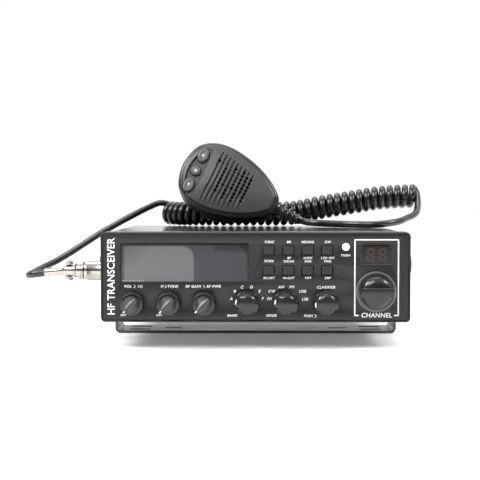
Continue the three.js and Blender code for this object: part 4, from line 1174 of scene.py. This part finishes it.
def makeLegends():
    bm = bmesh.new()
    for text, size, x, z in panelText:
        merge(bm, lettering(text, size, x, z, 0.0, 0.22, 0.0 if "Q" in text else 0.02 * size, spacing=1.12))
    middle = sum(panel["titleSpan"]) / 2
    title = lettering("HF TRANSCEIVER", 4.9, panel["titleAcross"], middle, 0.0, 0.0, 0.07, 90, spacing=1.02)
    heights = [v.co.y for v in title.verts]
    stretch = panel["titleLength"] / (max(heights) - min(heights))
    for v in title.verts:
        v.co.y = middle + (v.co.y - middle) * stretch
    merge(bm, title)
    merge(bm, lettering("CHANNEL", 3.0, 78.0, 21.6, 0.0, 0.1, 0.06, spacing=1.05))
    # small open marks that join the two names of a double control
    for x, z in markLoops:
        arc = []
        for r, order in ((0.95, 1), (0.66, -1)):
            points = [(x + r * math.cos(math.radians(a)), z + r * math.sin(math.radians(a)))
                      for a in range(-100, 101, 20)]
            arc += points[::order]
        merge(bm, plate(arc, [], -0.03, 0.03))
    # frame line round the channel selector, open where its name stands
    line = panel["selectorLine"]
    left, right, low, high = panel["selectorFrame"]
    gapLeft, gapRight = panel["selectorGap"]
    for x0, x1, z0, z1 in ((left - line, left + line, low, high), (right - line, right + line, low, high),
                           (left - line, right + line, high - line, high + line),
                           (left - line, gapLeft, low - line, low + line),
                           (gapRight, right + line, low - line, low + line)):
        part = bmesh.new()
        addBox(part, (x0, z0, -0.03), (x1, z1, 0.03))
        merge(bm, part)
    piece("panelLegends", bm, "whiteInk", "radio", place=faceFrame @ Matrix.Translation((0, 0, 0.03)))


# windows and lamps
# display colours: the glass's own dim tone, a painted reflection, and a near-black used for the border and
# for painted shade
display = {
    "paintedReflection": (0.098, 0.100, 0.103),
    "dim": (0.030, 0.032, 0.038),
    "borderAndShade": (0.006, 0.006, 0.007),
    "reflectionEdge": -39.6,  # where the painted reflection ends
    "soft": 1.6,
}


def makePatchGroup():
    # a rectangle with round corners in the panel's plane, as a soft mask; sizes in millimetres
    group, inside, out = newGroup("roundedPatch", [
        ("Vector", "NodeSocketVector", (0, 0, 0)), ("Middle X", "NodeSocketFloat", 0.0),
        ("Middle Z", "NodeSocketFloat", 0.0), ("Half X", "NodeSocketFloat", 10.0),
        ("Half Z", "NodeSocketFloat", 10.0), ("Corner", "NodeSocketFloat", 2.0),
        ("Soft", "NodeSocketFloat", 0.5)], [("Mask", "NodeSocketFloat")])
    split = group.nodes.new("ShaderNodeSeparateXYZ")
    group.links.new(inside.outputs["Vector"], split.inputs[0])
    reaches = []
    for axis in ("X", "Z"):
        value = mathNode(group, "MULTIPLY", split.outputs[axis], 1000.0)
        value = mathNode(group, "SUBTRACT", value, inside.outputs["Middle " + axis])
        value = mathNode(group, "ABSOLUTE", value)
        value = mathNode(group, "SUBTRACT", value, inside.outputs["Half " + axis])
        value = mathNode(group, "ADD", value, inside.outputs["Corner"])
        value = mathNode(group, "MAXIMUM", value, 0.0)
        reaches.append(mathNode(group, "MULTIPLY", value, value))
    distance = mathNode(group, "SQRT", mathNode(group, "ADD", *reaches))
    distance = mathNode(group, "SUBTRACT", distance, inside.outputs["Corner"])
    mask = mathNode(group, "DIVIDE", distance, inside.outputs["Soft"])
    mask = mathNode(group, "SUBTRACT", 0.5, mask, clamp=True)
    group.links.new(mask, out.inputs["Mask"])
    return group


patchGroup = makePatchGroup()


def patchMask(tree, coords, x0, x1, z0, z1, corner, soft):
    node = placeGroup(tree, patchGroup, Vector=coords, Middle_X=(x0 + x1) / 2, Middle_Z=(z0 + z1) / 2,
                      Half_X=(x1 - x0) / 2, Half_Z=(z1 - z0) / 2, Corner=corner, Soft=soft)
    return node.outputs["Mask"]


def displayWithPaintedLight():
    # the unlit display: a painted reflection over the left part, a dimmer right part, and a black border
    # whose colour also paints shade along the edges and in the upper left corner
    material = finish("lcdGlass", looks["lcdGlass"])
    tree = material.node_tree
    shader = tree.nodes["Principled BSDF"]
    coords = tree.nodes.new("ShaderNodeTexCoord").outputs["Object"]
    x0, x1, z0, z1 = nodeFace("display_window")
    colour = patchMask(tree, coords, x0 - 30, x1 - 1.2, z0 - 30, z1 - 1.1, 8.0, display["soft"])
    colour = mixColour(tree, colour, display["borderAndShade"], display["dim"])
    # painted shade along the top of the right part
    paintedTopShade = patchMask(tree, coords, -27.0, x1 + 4, z1 - 5.0, z1 + 4, 2.0, 2.5)
    colour = mixColour(tree, mathNode(tree, "MULTIPLY", paintedTopShade, 0.6), colour, display["borderAndShade"])
    # painted shade that deepens towards the bottom
    paintedLowShade = patchMask(tree, coords, -30.0, x1 + 20, z0 - 20, z0 + 6, 3.0, 22.0)
    colour = mixColour(tree, mathNode(tree, "MULTIPLY", paintedLowShade, 0.5), colour, display["borderAndShade"])
    # painted reflection: the lighter grey over the left part of the glass
    paintedReflection = patchMask(tree, coords, x0 + 1.8, display["reflectionEdge"], z0 - 30, z1 - 1.1, 1.0, display["soft"])
    rounded = patchMask(tree, coords, x0 - 60, display["reflectionEdge"], z0 - 40, z1 - 1.6, 8.0, display["soft"])
    paintedReflection = mathNode(tree, "MULTIPLY", paintedReflection, rounded)
    colour = mixColour(tree, paintedReflection, colour, display["paintedReflection"])
    # painted shade in the upper left corner
    corner = patchMask(tree, coords, x0 - 30, x0 + 2, z1 - 2, z1 + 30, 3.0, 34.0)
    colour = mixColour(tree, mathNode(tree, "MULTIPLY", corner, 0.75), colour, display["borderAndShade"])
    # painted highlight: a thin light line along the lower left edge of the glass
    paintedEdgeHighlight = patchMask(tree, coords, x0 + 0.4, x0 + 14.5, z0 + 0.1, z0 + 0.8, 0.3, 0.3)
    colour = mixColour(tree, paintedEdgeHighlight, colour, (0.22, 0.22, 0.22))
    tree.links.new(colour, shader.inputs["Base Color"])
    return material


def lens(name, node, look, drop, replaces):
    x0, x1, z0, z1 = nodeFace(node)
    bm = plate(roundedRect(x0, x1, z0, z1, 0.8), [], -drop - 1.6, -drop, 0.2, 3)
    piece(name, bm, look, "radio", angle=30, place=faceFrame, replaces=replaces)


digit = {
    "high": 8.0,
    "wide": 4.8,
    "bar": 0.85,
    "gap": 0.18,
    "slant": 0.12,
    "pitch": 7.6,
}


def addDigit(bm, x, z):
    # seven unlit segments of one figure
    h, w, t, g = digit["high"] / 2, digit["wide"] / 2, digit["bar"] / 2, digit["gap"]
    flat = [(-w + t + g, 0), (-w + 2 * t + g, t), (w - 2 * t - g, t), (w - t - g, 0), (w - 2 * t - g, -t),
            (-w + 2 * t + g, -t)]
    upright = [(0, g + t), (t, g + 2 * t), (t, h - 2 * t - g), (0, h - t - g), (-t, h - 2 * t - g),
               (-t, g + 2 * t)]
    loops = [[(px, py + level) for px, py in flat] for level in (-h + t, 0, h - t)]
    for side in (-w + t, w - t):
        loops.append([(px + side, py) for px, py in upright][::-1])
        loops.append([(px + side, -py) for px, py in upright])
    for loop in loops:
        merge(bm, plate([(x + px + py * digit["slant"], z + py) for px, py in loop], [], -0.04, 0.04))


def makeWindows():
    paint["lcdGlass"] = displayWithPaintedLight()
    lens("displayLens", "display_window", "lcdGlass", 0.35, ("display_window",))
    lens("channelLens", "channel_window", "redLens", 0.5, ("channel_window",))
    x, z = nodeMiddle("channel_window")
    bm = bmesh.new()
    for side in (-0.5, 0.5):
        addDigit(bm, x + side * digit["pitch"], z - 0.2)
    piece("channelDigits", bm, "ghostSegment", "radio", place=faceFrame @ Matrix.Translation((0, 0, -0.46)))
    x0, x1, z0, z1 = nodeFace("channel_window")
    bm = plate(roundedRect(x0 - 0.9, x1 + 0.9, z0 - 0.9, z1 + 0.9, 1.4),
               [roundedRect(x0 + 0.1, x1 - 0.1, z0 + 0.1, z1 - 0.1, 0.8)[::-1]], -0.5, 0.3, 0.2)
    piece("channelBezel", bm, "knobPlastic", "radio", place=faceFrame)
    x, z = nodeMiddle("status_led")
    bm = bmesh.new()
    addTurned(bm, [(0.01, -2.5), (2.4, -2.5), (2.45, 0.0), (2.2, 0.45), (1.5, 0.85), (0.7, 1.05),
                   (0.01, 1.1)], 32)
    piece("statusLamp", bm, "milkyLens", "radio", angle=60, place=faceFrame @ Matrix.Translation((x, z, 0)),
          replaces=("status_led",))
    bm = bmesh.new()
    addTurned(bm, [(2.5, -0.4), (3.15, -0.4), (3.15, 0.15), (3.0, 0.3), (2.65, 0.3), (2.5, 0.15),
                   (2.5, -0.4)], 32)
    bmesh.ops.delete(bm, geom=[f for f in bm.faces if len(f.verts) > 4], context="FACES_ONLY")
    piece("lampCollar", bm, "knobPlastic", "radio", place=faceFrame @ Matrix.Translation((x, z, 0)))


# keys
def makeKeys():
    for node in keyNodes:
        x, z = nodeMiddle(node)
        w, h = keySize[0] / 2, keySize[1] / 2
        bm = bmesh.new()
        rings = []
        for inset, out in ((0, -3.2), (0, 0.15), (0.12, 0.35), (0.42, 0.58), (0.8, 0.62)):
            corner = max(0.75 - inset * 0.5, 0.3)
            rings.append([(px, py, out) for px, py in
                          roundedRect(x - w + inset, x + w - inset, z - h + inset, z + h - inset, corner,
                                      4)])
        addRings(bm, rings)
        piece("keyCap_" + node, bm, "keyRubber", bodyOf[node], angle=25, place=faceFrame, replaces=(node,))


# knobs
knob = {
    "barHalf": 3.2,  # half width of the grip bar's crest
    "bushHalf": 4.8,  # half width of the bore over the control's bush
}


def addConoid(bm, r, half, rim, top, power=1.0, floor=0.0, steps=40, samples=7, slot=0):
    # a round body that sweeps up from its rim to a straight grip bar along the drawn x
    rings = []
    for i in range(steps + 1):
        a = math.pi * (0.015 + 0.97 * i / steps)
        x, edge = -math.cos(a) * r, math.sin(a) * r
        b = min(half, edge * 0.97)
        side = [(edge, floor), (edge, rim)]
        for k in range(1, samples):
            t = 1 - k / samples
            side.append((b + (edge - b) * t, top - (top - rim) * t ** power))
        side += [(b, top - 0.25), (b - 0.3 if b > 0.6 else b * 0.5, top)]
        section = side + [(-y, z) for y, z in reversed(side)]
        rings.append([(x, y, z) for y, z in section])
    addRings(bm, rings, slot=slot)


def barLoop(r, half, inset, steps=12):
    # a disc cut down to a straight bar with round ends
    reach = r - inset
    half = half - inset
    turn = math.asin(half / reach)
    right = [-turn + 2 * turn * k / steps for k in range(steps + 1)]
    return [(math.cos(a) * reach, math.sin(a) * reach) for a in right + [math.pi + a for a in right]]


def addBarKnob(bm, r, half, foot, shoulder, front, slot=0):
    # a glossy domed skirt, and a grip bar that stands out of it
    dome = [(0.5, foot), (r, foot), (r, foot + 0.6), (r * 0.985, foot + (shoulder - foot) * 0.35)]
    for k in range(1, 8):
        a = math.radians(90 * k / 8)
        dome.append((r * (0.42 + 0.565 * math.cos(a)),
                     foot + (shoulder - foot) * (0.35 + 0.65 * math.sin(a))))
    dome.append((0.01, shoulder + 0.15))
    addTurned(bm, dome, 72, slot=slot)
    rings = []
    for inset, z in ((0.0, foot + 1.0), (0.0, front - 1.1), (0.08, front - 0.6), (0.3, front - 0.2),
                     (0.7, front)):
        rings.append([(x, y, z) for x, y in barLoop(r - 0.1, half, inset)])
    addRings(bm, rings, slot=slot)


def ribbed(ribs, depth, low, high):
    def flute(a, z):
        if not low <= z <= high:
            return 0.0
        return -depth * (0.5 - 0.5 * math.cos(a * ribs)) ** 0.7
    return flute


def makeDualKnobs():
    for knobNode, ringNode in dualKnobs:
        x, z = nodeMiddle(ringNode)
        low, high = lowHigh(ringNode)
        r, front = (high[0] - low[0]) / 2, faceY - low[1]
        place = faceFrame @ Matrix.Translation((x, z, 0))
        bm = bmesh.new()
        profile = [(3.6, 0.5), (r, 0.5), (r, 1.2), (r - 0.02, front - 1.6), (r - 0.2, front - 0.7),
                   (r - 0.8, front - 0.1), (r - 1.2, front), (3.6, front)]
        addTurned(bm, profile, 168, ribbed(24, 0.5, 1.0, front - 0.6))
        part = plate(roundedRect(5.9, 7.7, -0.4, 0.4, 0.15, 2), [], front - 0.25, front + 0.04)
        merge(bm, part, 1, Matrix.Rotation(math.radians(225), 4, "Z"))
        part = plate(roundedRect(-0.4, 0.4, front - 4.5, front - 0.6, 0.15, 2), [], r - 0.4, r + 0.06)
        side = Matrix.Rotation(math.radians(225), 4,
                               "Z") @ Matrix(((0, 0, 1, 0), (1, 0, 0, 0), (0, 1, 0, 0), (0, 0, 0, 1)))
        merge(bm, part, 1, side)
        piece("outerKnob_" + ringNode, bm, ["knobPlastic", "whiteInk"], bodyOf[ringNode], angle=50,
              place=place, replaces=(ringNode,))
        low, high = lowHigh(knobNode)
        r, front = (high[0] - low[0]) / 2 * 0.91, faceY - low[1]
        back = faceY - lowHigh(ringNode)[0][1] + 0.3
        bm = bmesh.new()
        addTurned(bm, [(0.5, back), (r - 0.2, back), (r, back + 0.3), (r, back + 1.0),
                       (r - 0.25, back + 1.3),
                       (0.5, back + 1.3)], 96, ribbed(24, 0.3, back + 0.2, back + 1.1))
        addConoid(bm, r - 0.25, 1.15, back + 2.6, front, 1.15, back + 1.2, 36, 6)
        piece("innerKnob_" + knobNode, bm, "innerKnobPlastic", bodyOf[knobNode], angle=32,
              place=place @ Matrix.Rotation(math.radians(45), 4, "Z"), replaces=(knobNode,))


def makeBarKnobs():
    for node, turn in barKnobs:
        low, high = lowHigh(node)
        x, z = nodeMiddle(node)
        r, front = (high[0] - low[0]) / 2, faceY - low[1]
        bm = bmesh.new()
        foot = max(0.6, faceY - high[1])
        hub = foot + 1.1
        if node == "clarifier_knob":
            # the hub stays clear of the control's bush when the knob is pushed
            hub = max(hub, faceY - lowHigh("clarifier_encoder")[0][1] + 1.3)
        inner = max(3.6, knob["bushHalf"])
        addTurned(bm, [(inner, foot), (r, foot), (r, hub - 0.2), (r - 0.35, hub + 0.2), (inner, hub + 0.2)],
                  72)
        addBarKnob(bm, r - 0.35, knob["barHalf"], hub, front - 3.4, front)
        # pointer: a short stroke over the end of the grip bar
        part = plate(roundedRect(-r + 0.55, -r + 1.25, -1.5, 1.5, 0.3, 3), [], front - 0.3, front + 0.05)
        merge(bm, part, 1)
        piece("barKnob_" + node, bm, ["knobPlastic", "whiteInk"], bodyOf[node], angle=32,
              place=faceFrame @ Matrix.Translation((x, z, 0)) @ Matrix.Rotation(math.radians(-turn), 4,
                                                                                "Z"),
              replaces=(node,))


def makeChannelKnob():
    node = "channel_knob"
    low, high = lowHigh(node)
    x, z = nodeMiddle(node)
    r, front = (high[0] - low[0]) / 2, faceY - low[1]
    bm = bmesh.new()
    addTurned(bm, [(4.6, 0.6), (r - 0.2, 0.6), (r, 0.8), (r, 3.4), (r - 0.25, 3.7), (r - 0.9, 3.8),
                   (r - 1.05, 3.4), (4.6, 3.4)], 96, slot=1)
    addTurned(bm, [(4.6, 3.2), (r - 1.3, 3.2), (r - 1.35, 4.6), (r - 1.6, 5.0), (r - 2.0, 5.1), (4.6, 5.1)],
              240, ribbed(40, 0.45, 3.0, 4.9))
    addBarKnob(bm, r - 2.3, 3.05, 4.9, front - 3.0, front)
    # painted highlight: a bright hairline along the upper edge of the bar
    part = plate(roundedRect(-r + 3.4, r - 3.4, 2.72, 2.92, 0.08, 2), [], front - 0.1, front + 0.03)
    merge(bm, part, 1)
    piece("channelKnob", bm, ["knobPlastic", "rimPlasticAndHighlight"], bodyOf[node], angle=32,
          place=faceFrame @ Matrix.Translation((x, z, 0)), replaces=(node,))


# thumb screws
def makeThumbScrews():
    for node, side in (("thumb_screw_left", -1), ("thumb_screw_right", 1)):
        low, high = lowHigh(node)
        y, z = (low[1] + high[1]) / 2, (low[2] + high[2]) / 2
        r = (high[1] - low[1]) / 2
        outer = max(abs(low[0]), abs(high[0]))
        inner = min(abs(low[0]), abs(high[0]))
        seat = outer - 12.5
        part = bmesh.new()
        profile = [(0.5, inner), (2.6, inner), (2.8, inner + 0.4), (2.8, seat - 0.1), (4.6, seat),
                   (5.0, seat + 0.3),
                   (5.0, seat + 3.0), (r - 0.7, seat + 3.4), (r, seat + 4.1), (r, outer - 1.0),
                   (r - 0.8, outer - 0.2),
                   (r - 1.3, outer), (4.2, outer), (3.9, outer - 0.5), (0.5, outer - 0.5)]
        addTurned(part, profile, 216, ribbed(30, 0.55, seat + 3.9, outer - 0.6))
        axis = Matrix(((0, 0, side, 0), (side, 0, 0, 0), (0, 1, 0, 0), (0, 0, 0, 1)))
        piece("thumbScrew_" + ("left" if side < 0 else "right"), part, "knobPlastic", bodyOf[node],
              angle=40, place=Matrix.Translation((0, y, z)) @ axis, replaces=(node,))


# small screws on the case
def screwHead(bm, x, y, z, r, axis):
    # a cross-slot pan head; axis turns the drawn z outwards
    part = bmesh.new()
    addTurned(part, [(0.01, -0.4), (r, -0.4), (r, 0.1), (r * 0.85, 0.6), (r * 0.5, 0.95), (0.01, 1.05)], 24)
    merge(bm, part, 0, Matrix.Translation((x, y, z)) @ axis)
    # the cross slot is a near-black box: painted shade in place of a recess
    for spin in (25, 115):
        part = bmesh.new()
        addBox(part, (-r * 0.6, -0.22, 0.5), (r * 0.6, 0.22, 1.1))
        merge(bm, part, 1, Matrix.Translation((x, y, z)) @ axis @ Matrix.Rotation(math.radians(spin), 4,
                                                                                  "Z"))


def makeCaseScrews():
    bm = bmesh.new()
    low, high = lowHigh("top_cover")
    for side in (-1, 1):
        axis = Matrix(((0, 0, side, 0), (side, 0, 0, 0), (0, 1, 0, 0), (0, 0, 0, 1)))
        for y in (low[1] + 12, high[1] - 12):
            for z in (high[2] - 6, lowHigh("bottom_cover")[0][2] + 6):
                screwHead(bm, side * high[0], y, z, 2.5, axis)
    piece("caseScrews", bm, ["zincSteel", "paintedSlotShade"], "radio")
    bm = bmesh.new()
    low, high = lowHigh("chassis_frame")
    back = Matrix(((-1, 0, 0, 0), (0, 0, 1, 0), (0, 1, 0, 0), (0, 0, 0, 1)))
    for x in (low[0] + 9, high[0] - 9):
        for z in (low[2] + 6, high[2] - 6):
            screwHead(bm, x, high[1], z, 2.2, back)
    piece("rearScrews", bm, ["zincSteel", "paintedSlotShade"], "radio")


# pieces carried over from the CAD model
carried = {
    # node: (material, edge rounding in millimetres)
    "mounting_bracket": ("bracketPaint", 0.35), "chassis_frame": ("aluminium", 0.15),
    "top_cover": ("casePaint", 0.3), "bottom_cover": ("casePaint", 0.3), "loudspeaker": ("paperCone", 0.2),
    "heat_sink": ("aluminium", 0.2), "antenna_socket": ("nickel", 0.25), "speaker_jack": ("nickel", 0.2),
    "power_inlet": ("knobPlastic", 0.3), "main_board": ("boardGreen", 0.1),
    "front_board": ("boardGreen", 0.1),
    "display_module": ("aluminium", 0.2), "channel_display": ("knobPlastic", 0.2),
    "mic_capsule": ("paperCone", 0.2), "mic_socket": ("nickel", 0.2),
    "clarifier_spindle": ("zincSteel", 0.2),
}
for control in ("volume_control", "mic_gain_control", "rf_gain_control", "band_switch", "mode_switch",
                "clarifier_encoder", "channel_encoder"):
    carried[control] = ("zincSteel", 0.2)


def finishCarried():
    for node, (look, edge) in carried.items():
        obj = bpy.data.objects[node]
        obj.data.materials.clear()
        obj.data.materials.append(paint[look])
        modifier = obj.modifiers.new("softEdges", "BEVEL")
        modifier.width = edge * mm
        modifier.segments = 2
        modifier.limit_method = "ANGLE"
        modifier.angle_limit = math.radians(40)


bodyOf = {node: body for body, nodes in record["behaviour"]["bodies"].items() for node in nodes}
makePanel()
makeLegends()
makeWindows()
makeKeys()
makeDualKnobs()
makeBarKnobs()
makeChannelKnob()
makeThumbScrews()
makeCaseScrews()
finishCarried()
print("radio ready")


# closing
def declareCord():
    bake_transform(cordPiece)


declareCord()
